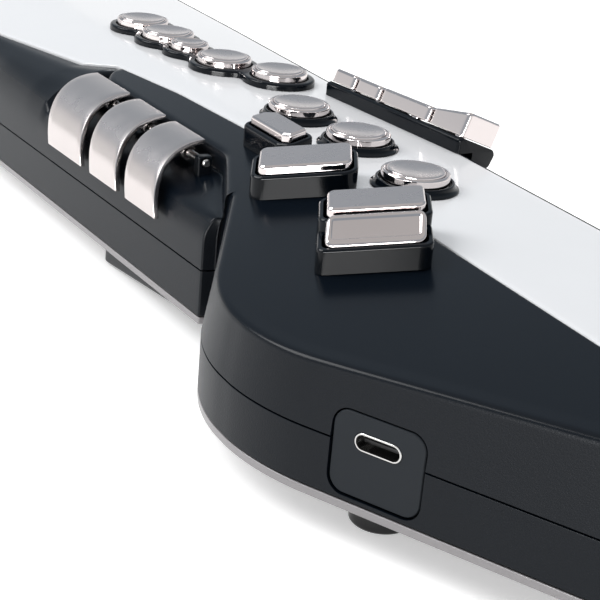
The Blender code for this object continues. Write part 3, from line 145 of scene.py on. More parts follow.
def eased(controls, radii, steps=5, closed=True):
    """Lines through control points along the second-last axis, each corner replaced by a short parabola.

    The parabola runs between the points a radius before and after the corner, less on short sides, and one
    more point follows on each side, so that the flat beside it stays flat when shaded.
    """
    before = np.roll(controls, 1, axis=-2) - controls
    after = np.roll(controls, -1, axis=-2) - controls
    if not closed:
        before[..., 0, :] = 0
        after[..., -1, :] = 0
    radii = np.broadcast_to(np.asarray(radii, float), controls.shape[:-1])[..., None]
    size_before = np.linalg.norm(before, axis=-1, keepdims=True)
    size_after = np.linalg.norm(after, axis=-1, keepdims=True)
    a = controls + unit(before) * np.minimum(radii, size_before * 0.38)
    b = controls + unit(after) * np.minimum(radii, size_after * 0.38)
    wide_a = controls + unit(before) * np.minimum(radii * 1.4, size_before * 0.49)
    wide_b = controls + unit(after) * np.minimum(radii * 1.4, size_after * 0.49)
    bend = [(1 - t) ** 2 * a + 2 * t * (1 - t) * controls + t ** 2 * b for t in np.linspace(0, 1, steps)]
    line = np.stack([wide_a, *bend, wide_b], axis=-2)
    return line.reshape(*controls.shape[:-2], -1, controls.shape[-1])


def skin(name, grid, wrap_rows=False, wrap_columns=True):
    """An object over a grid of points in millimetres: each cell is a face, and open end rows are closed.

    Doubled points are merged, and the faces turned outwards where the closed surface's signed volume, the sum
    of its corner triple products, is negative.
    """
    rows, columns = grid.shape[:2]
    index = np.arange(rows * columns).reshape(rows, columns)
    ends = [] if wrap_rows else [index[0, ::-1].tolist(), index[-1].tolist()]
    index = np.vstack([index, index[:1]]) if wrap_rows else index
    index = np.hstack([index, index[:, :1]]) if wrap_columns else index
    quads = np.stack([index[:-1, :-1], index[:-1, 1:], index[1:, 1:], index[1:, :-1]], -1).reshape(-1, 4)
    points = grid.reshape(-1, 3).astype(float)
    middle = points.mean(0)
    a, b, c, d = (points[quads[:, k]] - middle for k in range(4))
    volume = (np.cross(a, b) * c).sum() + (np.cross(a, c) * d).sum()
    for end in ends:
        ring = points[end] - middle
        volume += (np.cross(ring[1:-1], ring[2:]) * ring[0]).sum()
    faces = quads.tolist() + ends
    if volume < 0:
        faces = [face[::-1] for face in faces]
    mesh = bpy.data.meshes.new(name)
    mesh.from_pydata(points * MM + ORIGIN, [], faces)
    made = bmesh.new()
    made.from_mesh(mesh)
    bmesh.ops.remove_doubles(made, verts=made.verts, dist=1e-7)
    bmesh.ops.dissolve_degenerate(made, edges=made.edges, dist=1e-8)
    made.to_mesh(mesh)
    made.free()
    piece = bpy.data.objects.new(name, mesh)
    bpy.context.scene.collection.objects.link(piece)
    return piece


SHARP = math.radians(34)


def dress(piece, material, body, slot, *nodes):
    """Shades a piece, gives it its material, and hangs it on its body in place of CAD nodes."""
    piece.data.shade_smooth()
    piece.data.set_sharp_from_angle(angle=SHARP)
    piece.data.materials.clear()
    piece.data.materials.append(material)
    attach(piece, body)
    if nodes:
        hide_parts(*nodes)
    return piece


def carve(piece, cutters):
    """Takes the cutters' shapes out of a piece with one Boolean, whose result becomes its mesh."""
    group = bpy.data.collections.new("cutters")
    for cutter in cutters:
        group.objects.link(cutter)
    boolean = piece.modifiers.new("cut", "BOOLEAN")
    boolean.operand_type = "COLLECTION"
    boolean.collection = group
    boolean.solver = "EXACT"
    graph = bpy.context.evaluated_depsgraph_get()
    mesh = bpy.data.meshes.new_from_object(piece.evaluated_get(graph))
    piece.modifiers.clear()
    piece.data = mesh
    for cutter in cutters:
        bpy.data.objects.remove(cutter)
    bpy.data.collections.remove(group)


def body_outline():
    """The body's edge from above: a narrow tip, a round lobe, a notch at the waist and a tube that tapers."""
    apex = TIP_RADIUS - TIP_RADIUS / math.sin(BELL_ANGLE)
    flank = np.array((math.sin(FLANK_ANGLE), math.cos(FLANK_ANGLE)))
    touch = LOBE_CENTRE + LOBE_RADIUS * np.array((-flank[1], flank[0]))
    bell = np.array((-math.sin(BELL_ANGLE), math.cos(BELL_ANGLE)))
    steps = np.linalg.solve(np.stack((bell, -flank), 1), touch - np.array((0, apex)))
    lobe = np.array((0, apex)) + bell * steps[0]
    right = RIGHT_WALL[1][0]
    corners = [
        (0, apex), lobe, NOTCH, (-np.interp(WAIST, *LEFT_WALL), WAIST), (-40.3, 270), (-40.3, 330),
        (-NECK_HALF_WIDTH, 440), (NECK_HALF_WIDTH, 440),
        (36.5, 330), (36.5, 270), (right, 140), (right, apex + right / math.tan(BELL_ANGLE)),
    ]
    radii = [TIP_RADIUS, LOBE_RADIUS, 0.4, 0.5, 120, 90, 3, 3, 90, 120, 250, 30]
    return rounded(corners, radii, 1.5)


def smoothed(knots, at, width):
    """A broken line read at some stations and averaged over a width, which rounds its corners."""
    shifts = np.linspace(-width / 2, width / 2, 9)
    return np.mean([np.interp(np.asarray(at) + shift, *knots) for shift in shifts], axis=0)


def shell_controls(edge, out):
    """Ten control points for each place on the outline, from the seam up over the top and back down inside.

    The bell's wall leans in, most beside the waist, to a rim. The bay's wall ends low, at a floor that runs
    in to the wing's upright edge. The tube's shoulder is a quarter of an ellipse from the wall to the panel.
    The right side and the neck's end are nearly upright.
    """
    u, s = edge.T
    count = len(u)

    def at(inset, height):
        plan = edge - out * np.reshape(inset, (-1, 1))
        return np.column_stack((plan, np.broadcast_to(height, count)))

    def spot(us, ss, height):
        return np.column_stack([np.broadcast_to(v, count).astype(float) for v in (us, ss, height)])

    places, stations = (0, 1, 6, 20, 60, WAIST, NECK_MARGIN), (3, 3.6, 7, 19, 61, WAIST + 0.6, NECK_MARGIN)
    station = np.interp(s, places, stations)
    tip = np.sqrt(np.clip(17.0 ** 2 - np.clip(TIP_RADIUS - station, 0, 17.0) ** 2, 0, None))
    panel_left = np.minimum(np.interp(station, *PANEL_EDGE), np.where(station < TIP_RADIUS, tip, 99.0))
    left_panel = spot(-panel_left, station, top_height(-panel_left, station))

    rim = top_height(*(edge - out * 2.0).T)
    inner_rim = top_height(*(edge - out * 5.0).T)
    draft = np.interp(s, (60, 112), (1.0, 2.2))
    bell = [
        at(0.0, SEAM_LIP), at(draft * 0.4, rim * 0.4), at(draft * 0.8, rim * 0.8), at(draft, rim),
        at(5.0, inner_rim), left_panel, left_panel - (0, 0, PANEL_DEPTH), at(draft + 4, rim - 3.2),
        at(draft * 0.8 + WALL, rim * 0.8 - WALL), at(WALL, SEAM_LIP),
    ]
    wall = -u
    reach = smoothed(WING_EDGE, s, 5.0)
    share = np.clip((s - (BAY_END - WING_TIP)) / WING_TIP, 0, 1)
    panel_reach = np.interp(s, *PANEL_EDGE)
    reach = panel_reach + 1.2 + (reach - panel_reach - 1.2) * np.sqrt(np.clip(1 - share ** 2, 0, 1))
    reach = np.minimum(reach, wall - 1.0)
    top = top_height(-reach, s)
    floor = top_height(-np.interp(s, *WING_EDGE), s) - BAY_DEPTH
    bay = [
        spot(u, s, SEAM_LIP), spot(u, s, 8.0),
        spot(np.minimum(u + 2.2, -reach - 0.5), s, np.minimum(12.0, floor)),
        spot(-reach, s, floor), spot(-reach, s, top), left_panel, left_panel - (0, 0, PANEL_DEPTH),
        spot(1.2 - reach, s, floor - WALL), spot(u + 2.2 + WALL, s, 12.0 - WALL), spot(u + WALL, s, SEAM_LIP),
    ]
    sunk = 0.5
    shoulder_top = top_height(-panel_reach, s) - sunk

    def shoulder(degrees):
        angle = math.radians(degrees)
        across = panel_reach + (wall - panel_reach) * math.cos(angle)
        return -across, 8 + (shoulder_top - 8) * math.sin(angle)
    (u1, h1), (u2, h2), (u3, h3) = shoulder(26), shoulder(50), shoulder(74)
    tube = [
        spot(u, s, SEAM_LIP), spot(u, s, 8.0), spot(u1, s, h1), spot(u2, s, h2), spot(u3, s, h3),
        left_panel - (0, 0, sunk), left_panel - (0, 0, PANEL_DEPTH),
        spot(np.maximum(u2, u + WALL + 1), s, h2 - WALL), spot(u1 + WALL, s, h1 - WALL),
        spot(u + WALL, s, SEAM_LIP),
    ]
    clip_u = np.clip(u, -18, NECK_HALF_WIDTH - PANEL_MARGIN)
    neck_panel = spot(clip_u, NECK_MARGIN, top_height(clip_u, NECK_MARGIN))
    neck = [
        at(0.0, SEAM_LIP), at(0.0, 8.0), at(0.2, 16.0), at(0.6, 22.0), at(1.4, top_height(u, s) - 0.3),
        neck_panel, neck_panel - (0, 0, PANEL_DEPTH), at(4.5, 15.0), at(WALL + 0.3, 13.0), at(WALL, SEAM_LIP),
    ]
    right_panel = at(PANEL_MARGIN, top_height(*(edge - out * PANEL_MARGIN).T))
    right_top = right_panel[:, 2]
    right = [
        at(0.0, SEAM_LIP), at(0.0, 8.0), at(0.3, 13.0), at(1.0, 16.2), at(2.0, right_top - 0.6),
        right_panel, right_panel - (0, 0, PANEL_DEPTH), at(PANEL_MARGIN + 1, 15.0), at(WALL + 0.3, 11.0),
        at(WALL, SEAM_LIP),
    ]
    left = u <= 0
    notch = np.argmin(np.linalg.norm(edge - NOTCH, axis=1))
    kinds = [s >= NECK_MARGIN, left & (np.arange(count) <= notch), left & (s < BAY_END), left]
    kind = np.select(kinds, [0, 1, 2, 3], 4)
    radii = np.array((
        (0.1, 3, 3, 3, 2, 0.3, 0.2, 0.5, 1, 0.1), (0.1, 2, 2, 1.3, 0.6, 0.3, 0.2, 0.5, 0.5, 0.1),
        (0.1, 2, 3, 0.7, 1.5, 0.3, 0.2, 0.3, 0.5, 0.1), (0.1, 3, 6, 6, 6, 0.5, 0.2, 0.5, 0.5, 0.1),
        (0.1, 2, 1, 1, 1, 0.3, 0.2, 0.5, 0.5, 0.1),
    ))
    stacks = np.stack([np.stack(rows, 1) for rows in (neck, bell, bay, tube, right)])
    return stacks[kind, np.arange(count)], radii[kind]


def finish(name, colour, roughness, metallic=0.0, specular=0.5, coat=0.0, drift=0.08, grain=0.0,
           grain_size=0.3, wall_roughness=None):
    """A finish on Object coordinates, whose colour and roughness drift with a slow noise.

    A fine noise of grain_size millimetres raises the surface by about grain millimetres. With a wall
    roughness, upright walls take it and the grain, and what faces up stays smooth.
    """
    material = bpy.data.materials.new(name)
    material.use_nodes = True
    nodes, links = material.node_tree.nodes, material.node_tree.links
    shader = nodes["Principled BSDF"]
    shader.inputs["Metallic"].default_value = metallic
    shader.inputs["Specular IOR Level"].default_value = specular
    shader.inputs["Coat Weight"].default_value = coat
    shader.inputs["Coat Roughness"].default_value = 0.04
    place = nodes.new("ShaderNodeTexCoord")
    slow = nodes.new("ShaderNodeTexNoise")
    slow.inputs["Scale"].default_value = 55.0
    slow.inputs["Detail"].default_value = 5.0
    links.new(place.outputs["Object"], slow.inputs["Vector"])
    mix = nodes.new("ShaderNodeMix")
    mix.data_type = "RGBA"
    mix.inputs["A"].default_value = (*[c * (1 - drift) for c in colour], 1)
    mix.inputs["B"].default_value = (*[min(c * (1 + drift), 1) for c in colour], 1)
    links.new(slow.outputs["Fac"], mix.inputs["Factor"])
    links.new(mix.outputs["Result"], shader.inputs["Base Color"])
    rough = nodes.new("ShaderNodeMapRange")
    rough.inputs["To Min"].default_value = roughness * (1 - drift)
    rough.inputs["To Max"].default_value = roughness * (1 + drift)
    links.new(slow.outputs["Fac"], rough.inputs["Value"])
    links.new(rough.outputs["Result"], shader.inputs["Roughness"])
    if grain:
        fine = nodes.new("ShaderNodeTexNoise")
        fine.inputs["Scale"].default_value = 1 / (grain_size * MM)
        fine.inputs["Detail"].default_value = 2.0
        links.new(place.outputs["Object"], fine.inputs["Vector"])
        bump = nodes.new("ShaderNodeBump")
        bump.inputs["Distance"].default_value = grain * MM
        links.new(fine.outputs["Fac"], bump.inputs["Height"])
        links.new(bump.outputs["Normal"], shader.inputs["Normal"])
        if wall_roughness:
            shape = nodes.new("ShaderNodeNewGeometry")
            upright = nodes.new("ShaderNodeSeparateXYZ")
            mask = nodes.new("ShaderNodeMapRange")
            mask.inputs["From Min"].default_value = 0.25
            mask.inputs["From Max"].default_value = 0.7
            mask.inputs["To Min"].default_value = 1.0
            mask.inputs["To Max"].default_value = 0.06
            links.new(shape.outputs["Normal"], upright.inputs["Vector"])
            links.new(upright.outputs["Z"], mask.inputs["Value"])
            links.new(mask.outputs["Result"], bump.inputs["Strength"])
            blend = nodes.new("ShaderNodeMix")
            blend.inputs["B"].default_value = wall_roughness
            links.new(mask.outputs["Result"], blend.inputs["Factor"])
            links.new(rough.outputs["Result"], blend.inputs["A"])
            links.new(blend.outputs["Result"], shader.inputs["Roughness"])
    return material


EDGE, OUT = body_outline()
left_limit = (cad_box[0][0] - ORIGIN[0]) / MM + 0.01
EDGE[:, 0] = np.maximum(EDGE[:, 0], left_limit)
controls, control_radii = shell_controls(EDGE, OUT)
upper_shell = skin("upper_shell_moulding", eased(controls, control_radii), wrap_rows=True)
BLACK = (0.0032, 0.0056, 0.0095)
shell_black = finish("shell_black", BLACK, 0.20, specular=0.17, grain=0.035, wall_roughness=0.40)


def bell_frame(side, s, h=0.0):
    """The place and axes of a piece on the straight wall of the bell: x to the tip, y up, z outwards."""
    tangent = math.pi / 2 - BELL_ANGLE
    ahead = s - TIP_RADIUS * (1 - math.cos(tangent))
    across = TIP_RADIUS * math.sin(tangent) + ahead * math.tan(BELL_ANGLE)
    z = np.array((side * math.cos(BELL_ANGLE), -math.sin(BELL_ANGLE), 0))
    y = np.array((0.0, 0.0, 1.0))
    return np.array((side * across, s, h)), np.stack((np.cross(y, z), y, z))


def put(points, stand):
    """Points in a piece's own axes, carried to its place."""
    origin, axes = stand
    return np.asarray(points, float) @ axes + origin


def slab(name, corners, radii, profile, stand, easing=0.3, spacing=0.7, tilt=None):
    """A piece whose plan is a rounded polygon and whose side is a profile of (inset, height) points.

    Each ring is the plan moved inwards by the inset. tilt, if given, adds a height that depends on the plan,
    in full where the profile is at its highest.
    """
    plan, out = rounded(corners, np.broadcast_to(radii, len(corners)), spacing)
    if ((plan - plan.mean(0)) * out).sum() < 0:
        out = -out
    line = eased(np.asarray(profile, float), easing, closed=False)
    rings = plan[None] - out[None] * line[:, :1, None]
    heights = np.repeat(line[:, 1][:, None], len(plan), 1)
    if tilt is not None:
        weight = np.clip((heights - line[:, 1].min()) / np.ptp(line[:, 1]), 0, 1)
        heights = heights + tilt(rings[..., 0], rings[..., 1]) * weight
    return skin(name, put(np.concatenate([rings, heights[..., None]], -1), stand))


def rectangle(width, depth, x=0.0, y=0.0):
    w, d = width / 2, depth / 2
    return [(x + w, y + d), (x - w, y + d), (x - w, y - d), (x + w, y - d)]


def lathe(name, profile, stand, easing=0.2, sides=56, steps=5, closed=False):
    """A turned piece: a profile of (radius, height) points with eased corners, swept round the stand's z.

    A closed profile makes a ring or a tube, an open one is closed by its first and its last circle.
    """
    line = eased(np.asarray(profile, float), easing, steps=steps, closed=closed)
    angle = np.arange(sides) * 2 * math.pi / sides
    x = line[:, :1] * np.cos(angle)
    y = line[:, :1] * np.sin(angle)
    grid = put(np.stack((x, y, np.repeat(line[:, 1:], sides, 1)), -1), stand)
    return skin(name, grid, wrap_rows=closed)


def moved(stand, x=0.0, y=0.0, z=0.0):
    """A stand shifted along its own axes."""
    return stand[0] + np.array((x, y, z)) @ stand[1], stand[1]


def surface(u, s, turn=0.0, level=False):
    """The stand of a piece on the top: its plan lies in the surface, turned, and its walls are plumb."""
    across = unit((1, 0, TOP_FALL if u < -CREST and not level else 0.0))
    along = np.cross(unit(np.cross(across, (0, 1, TOP_RISE))), across)
    cos, sin = math.cos(turn), math.sin(turn)
    height = TOP_HEIGHT + TOP_FALL * min(u, -CREST) + TOP_RISE * s
    turned = (across * cos + along * sin, along * cos - across * sin, (0, 0, 1.0))
    return np.array((u, s, height)), np.stack(turned)


ROUND_KEYS = {
    "r1_key": (7.7, 177.5, 7.4), "r2_key": (10.3, 153.0, 7.4), "r3_key": (7.7, 123.9, 7.4),
    "l3_key": (18.0, 208.9, 7.4), "l2_key": (9.2, 224.5, 7.4), "bis_key": (6.0, 240.5, 5.3),
    "l1_key": (5.3, 254.2, 7.4), "front_f_key": (4.2, 270.8, 7.4),
}
PAIR_WIDTH, PAIR_MIDDLE = 18.5, 10.75
REAR_DEPTH, REAR_MIDDLE, FRONT_DEPTH, FRONT_MIDDLE = 9.2, 13.4, 6.2, 4.3
pair_stand = surface(-31.7, 93.9, math.radians(-29))
trill_stand = surface(-13.8, 133.4, math.radians(-28.9))
hex_stand = surface(-9.8, 154.0)
POD_LENGTH = 54.0
CLUSTER_KEYS = {
    "low_b_flat_key": (0.013, 0.230, 3.9, 6.0), "low_b_key": (0.256, 0.352, 3.7, 3.9),
    "low_c_sharp_key": (0.622, 0.180, 3.6, 3.6), "g_sharp_key": (0.816, 0.170, 3.6, 3.6),
}
POD_START, POD_MIDDLE = (31.19, 142.5), 6.2
lean, turn = math.radians(20.4), math.radians(6.8)
pod_across = np.array((math.cos(lean) * math.cos(turn), math.cos(lean) * math.sin(turn), -math.sin(lean)))
pod_upright = unit(np.cross(pod_across, (-math.sin(turn), math.cos(turn), TOP_RISE)))
pod_across = unit(pod_across - pod_upright * (pod_across @ pod_upright))
pod_stand = (
    np.array((*POD_START, top_height(*POD_START) + 4.1)),
    np.stack((pod_across, np.cross(pod_upright, pod_across), pod_upright)),
)
PALM_STATIONS = {"high_d_key": 262.0, "high_e_flat_key": 286.0, "high_f_key": 310.0}
WALL_AXES = np.array(((0, 1.0, 0), (0, 0, 1.0), (1.0, 0, 0)))
PALM_LEVEL = 8.5
palm_stands = {
    name: (np.array((np.interp(s, *RIGHT_WALL), s, PALM_LEVEL)), WALL_AXES)
    for name, s in PALM_STATIONS.items()
}
POD_STEM_HOLE, STEM_HOLE = 1.8, 2.5


def stem_holes(panel):
    """Cutters for the keys' stems through the panel or through the shell."""
    stems = [(trill_stand, STEM_HOLE), (hex_stand, STEM_HOLE)]
    stems += [(moved(pod_stand, POD_MIDDLE, (start + size / 2) * POD_LENGTH), POD_STEM_HOLE)
              for start, size, _, _ in CLUSTER_KEYS.values()]
    if panel:
        stems += [(surface(u, s, level=True), STEM_HOLE) for u, s, _ in ROUND_KEYS.values()]
    else:
        stems += [(moved(pair_stand, PAIR_MIDDLE, v), STEM_HOLE) for v in (REAR_MIDDLE, FRONT_MIDDLE)]
        stems += [(stand, STEM_HOLE) for stand in palm_stands.values()]
    return [lathe("stem_hole", [(radius, -9), (radius, 4)], stand, sides=24) for stand, radius in stems]


JACK_WIDTH, JACK_HEIGHT, JACK_RISE, JACK_CORNER, JACK_STATION = 17.5, 15.0, -1.8, 3.0, 53.8
jack_stand = bell_frame(-1, JACK_STATION)


def jack_window():
    """A cutter for the jack plate's window, a gap wider than the plate all round."""
    outline = rectangle(JACK_WIDTH + 2 * GAP, JACK_HEIGHT + 2 * GAP, 0, JACK_RISE)
    return slab("jack_window", outline, JACK_CORNER + GAP, [(0, -3.4), (0, 3)], jack_stand)


NECK_AXES = np.array(((1.0, 0, 0), (0, 0, -1.0), (0, 1.0, 0)))
collar_stand = (np.array((0.0, BODY_LENGTH, 4.0)), NECK_AXES)
air_channel = lathe("air_channel", [(1.9, -9), (1.9, 3)], collar_stand, sides=24)
carve(upper_shell, [jack_window(), air_channel, *stem_holes(panel=False)])
dress(upper_shell, shell_black, "body", "black_plastic", "upper_shell")

# Lower shell: the shallow black tub under the seam, of the same spark-eroded moulding, screwed to the upper
# one from below. Its floor is open over the battery well.
LOWER_HEIGHT = 10.3
levels = np.array((
    (WALL, WALL - LOWER_HEIGHT), (WALL, -SEAM_LIP), (0.0, -SEAM_LIP), (0.0, -LOWER_HEIGHT),
    (1.0, -LOWER_HEIGHT),
))
line = eased(levels, 0.12, steps=3, closed=False)
rings = EDGE[None] - OUT[None] * line[:, :1, None]
grid = np.concatenate([rings, np.repeat(line[:, 1][:, None, None], len(EDGE), 1)], -1)
lower_shell = skin("lower_shell_moulding", grid)
REAR = np.array(((1.0, 0, 0), (0, -1.0, 0), (0, 0, -1.0)))
PLATE_BOTTOM = -12.15
WELL_MIDDLE = 170.5
OCTAVE_STATIONS = {"octave_down_key": 306.0, "octave_up_key": 330.0}
BUTTONS = {"menu_button": -8.0, "enter_button": 8.0, "power_button": 22.0}
BUTTON_STATION = 354.0
DISPLAY_STATION = 372.0
SPEAKERS = {"speaker_left": -22.0, "speaker_right": 11.0}
SPEAKER_STATION, SPEAKER_RADIUS, SLOT_PITCH = 92.0, 14.0, 4.6


def rear(u, s, h=PLATE_BOTTOM):
    """The stand of a piece on the rear, whose z axis points down, away from the plate."""
    return np.array((u, s, h)), REAR


def rear_openings():
    """Cutters for what passes through the rear: the battery well, stems, buttons and the speakers' slots."""
    made = [slab("well", rectangle(57, 55), 2, [(0, -8), (0, 8)], rear(0, WELL_MIDDLE))]
    for s in OCTAVE_STATIONS.values():
        made.append(lathe("stem_hole", [(STEM_HOLE, -9), (STEM_HOLE, 4)], rear(0, s), sides=24))
    for u in BUTTONS.values():
        made.append(lathe("button_hole", [(3.3, -9), (3.3, 4)], rear(u, BUTTON_STATION), sides=32))
    for u in SPEAKERS.values():
        for row in range(-2, 3):
            length = 2 * math.sqrt(SPEAKER_RADIUS ** 2 - (row * SLOT_PITCH) ** 2) - 5
            stand = rear(u, SPEAKER_STATION + row * SLOT_PITCH)
            made.append(slab("slot", rectangle(length, 2.0), 0.9, [(0, -9), (0, 4)], stand))
    return made


phones_stand = bell_frame(1, 28.0, -3.7)
phones_hole = lathe("phones_hole", [(3.6, -6), (3.6, 3)], phones_stand, sides=40)
carve(lower_shell, [jack_window(), phones_hole, *rear_openings()])
dress(lower_shell, shell_black, "body", "black_plastic", "lower_shell")

# Back plate: a flat sheet in satin silver paint that covers the whole rear and shows as a thin bright line
# under the black shells. It carries the ears of the strap ring.
PLATE_TOP = -10.6
levels = np.array(((4.0, PLATE_TOP), (0.0, PLATE_TOP), (0.0, PLATE_BOTTOM), (4.0, PLATE_BOTTOM)))
line = eased(levels, 0.18, closed=False)
rings = EDGE[None] - OUT[None] * line[:, :1, None]
grid = np.concatenate([rings, np.repeat(line[:, 1][:, None, None], len(EDGE), 1)], -1)
back_plate = skin("back_plate_sheet", grid)
display_opening = slab("opening", rectangle(30.6, 14.6), 1.8, [(0, -3), (0, 3)], rear(0, DISPLAY_STATION))
carve(back_plate, [*rear_openings(), display_opening])
silver = finish("satin_silver", (0.31, 0.298, 0.305), 0.32, 0.35, grain=0.004, grain_size=0.12, drift=0.05)
dress(back_plate, silver, "body", "silver_plate", "back_plate")
RING_STATION, RING_LEVEL = 266.0, -13.95
ring_stand = (np.array((0, RING_STATION, RING_LEVEL)), WALL_AXES)
for name, u in (("strap_ear_left", -6.0), ("strap_ear_right", 6.0)):
    ear = slab(name, rectangle(2.4, 5.4), 0.8, [(0, -1.6), (0, 2.4), (0.4, 3)], rear(u, RING_STATION))
    carve(ear, [lathe("bore", [(1.5, -12), (1.5, 12)], ring_stand, sides=24)])
    dress(ear, silver, "body", "silver_plate")

# Front panel: a white high-gloss moulding, dropped into the upper shell's opening and glued. Its left edge
# follows the wing, and it bends over the crest towards the left.
opening = controls[:, 5]
sides = {}
for side, chosen in (("left", EDGE[:, 0] <= 0), ("right", EDGE[:, 0] >= 0)):
    edge_points = opening[chosen & (EDGE[:, 1] < NECK_MARGIN)]
    sides[side] = edge_points[np.argsort(edge_points[:, 1])]
start, end = 3.0 + GAP, NECK_MARGIN - GAP
turn = np.linspace(0, math.pi / 2, 16)
stations = np.concatenate((
    TIP_RADIUS - (TIP_RADIUS - start) * np.cos(turn), np.arange(22, 230, 2.0), np.arange(230, 250, 0.5),
    np.arange(250, 434, 2.0), (end - 0.35, end - 0.1, end),
))
drop = np.zeros(len(stations))
drop[-2:] = (0.08, 0.35)
left_edge = np.interp(stations, sides["left"][:, 1], sides["left"][:, 0]) + GAP
right_edge = np.interp(stations, sides["right"][:, 1], sides["right"][:, 0]) - GAP
right_edge = np.maximum(right_edge, left_edge + 0.01)
across = np.linspace(0, 1, 44)
width = (right_edge - left_edge)[:, None]
bend = np.minimum(0.35, width / 4)
u_top = left_edge[:, None] + bend + (width - 2 * bend) * across
h_top = top_height(u_top, stations[:, None]) - drop[:, None]
angle = np.linspace(0, math.pi / 2, 4)[:-1]
u_left = left_edge[:, None] + bend * (1 - np.cos(angle))
u_right = right_edge[:, None] - bend * (1 - np.cos(angle[::-1]))
low = -PANEL_DEPTH + GAP
h_left = top_height(u_left, stations[:, None]) - bend * (1 - np.sin(angle)) - drop[:, None]
h_right = top_height(u_right, stations[:, None]) - bend * (1 - np.sin(angle[::-1])) - drop[:, None]
u_all = np.hstack((left_edge[:, None], u_left, u_top, u_right, right_edge[:, None]))
h_all = np.hstack((
    top_height(left_edge, stations)[:, None] + low, h_left, h_top, h_right,
    top_height(right_edge, stations)[:, None] + low,
))
grid = np.stack((u_all, np.repeat(stations[:, None], u_all.shape[1], 1), h_all), -1)
front_panel = skin("front_panel_gloss", grid)
carve(front_panel, stem_holes(panel=True))
white = finish("white_gloss", (0.80, 0.81, 0.83), 0.16, coat=0.3, drift=0.02, grain=0.0015, grain_size=1.2)
dress(front_panel, white, "body", "white_panel", "front_panel")

# Boards and units inside: a green board under the keys with a rubber dome switch below each round key, the
# main board on spacers, two loudspeakers over the slots and the breath sensor at the neck's end.
board_green = finish("solder_mask", (0.016, 0.085, 0.045), 0.38, specular=0.5, drift=0.25)
chip_black = finish("chip_epoxy", (0.02, 0.02, 0.022), 0.55, drift=0.2)
steel = finish("nickel_steel", (0.58, 0.57, 0.56), 0.22, 1.0, drift=0.12)
INSIDE = {"main_board": board_green, "key_board": board_green, "breath_sensor": chip_black,
          "speaker_left": steel, "speaker_right": steel}
for name, material in INSIDE.items():
    frame_node = bpy.data.objects[name]
    frame_node.data.materials.clear()
    frame_node.data.materials.append(material)
for name, (u, s, _) in ROUND_KEYS.items():
    dome = lathe(f"{name}_switch", [(2.4, -7.7), (2.4, -7.2), (1.2, -6.9), (0.1, -6.85)],
                 surface(u, s, level=True), sides=24)
    dress(dome, chip_black, "body", "circuit_board")
UPRIGHT = np.eye(3)
for index, (u, s, size) in enumerate(((-10, 240, 9), (8, 244, 6), (-12, 286, 5), (10, 300, 7), (-4, 316, 4))):
    chip = slab(f"chip_{index + 1}", rectangle(size, size), 0.3, [(0, 0.02), (0, 1.0), (0.15, 1.1)],
                (np.array((u, s, -2.8)), UPRIGHT), easing=0.05)
    dress(chip, chip_black, "body", "circuit_board")

# Battery pack: four round cells side by side in the well behind the rear cover, each with a plain sleeve
# and a raised steel cap at one end.
cell_wrap = finish("cell_sleeve", (0.10, 0.12, 0.15), 0.34, specular=0.5, drift=0.1)
COVER_FACE = -12.45
CELL_PITCH = 14.0
for index in range(4):
    place = np.array(((index - 1.5) * CELL_PITCH, WELL_MIDDLE - 25.0, COVER_FACE + CELL_PITCH / 2))
    cell_stand = (place, NECK_AXES)
    profile = [(5.5, 0), (6.95, 0), (6.95, 49.0), (5.5, 49.0)]
    sleeve = lathe(f"cell_{index + 1}", profile, cell_stand, 0.5, sides=40)
    dress(sleeve, cell_wrap, "body", "cell_wrap", *(["battery_pack"] if index == 0 else []))
    profile = [(2.7, 48.9), (2.7, 49.9), (0.4, 50.0)]
    button = lathe(f"cell_{index + 1}_cap", profile, cell_stand, 0.3, sides=28)
    dress(button, steel, "body", "cell_wrap")


def plated(name, colour, polish, satin, low, high):
    """A plated finish: mirror-like on the walls and satin where the surface faces up, both worn a little.

    The roughness goes from polish to satin as the normal's upward part goes from low to high, and both it
    and the colour drift with a slow noise.
    """
    material = finish(name, colour, polish, 1.0, drift=0.05, grain=0.0012, grain_size=0.5)
    nodes, links = material.node_tree.nodes, material.node_tree.links
    shape = nodes.new("ShaderNodeNewGeometry")
    upright = nodes.new("ShaderNodeSeparateXYZ")
    links.new(shape.outputs["Normal"], upright.inputs["Vector"])
    rough = nodes.new("ShaderNodeMapRange")
    rough.inputs["From Min"].default_value = low
    rough.inputs["From Max"].default_value = high
    rough.inputs["To Min"].default_value = polish
    rough.inputs["To Max"].default_value = satin
    links.new(upright.outputs["Z"], rough.inputs["Value"])
    place = nodes.new("ShaderNodeTexCoord")
    wear = nodes.new("ShaderNodeTexNoise")
    wear.inputs["Scale"].default_value = 320.0
    wear.inputs["Detail"].default_value = 3.0
    links.new(place.outputs["Object"], wear.inputs["Vector"])
    spread = nodes.new("ShaderNodeMapRange")
    spread.inputs["To Min"].default_value = 0.85
    spread.inputs["To Max"].default_value = 1.15
    links.new(wear.outputs["Fac"], spread.inputs["Value"])
    both = nodes.new("ShaderNodeMath")
    both.operation = "MULTIPLY"
    links.new(rough.outputs["Result"], both.inputs[0])
    links.new(spread.outputs["Result"], both.inputs[1])
    links.new(both.outputs["Value"], nodes["Principled BSDF"].inputs["Roughness"])
    return material


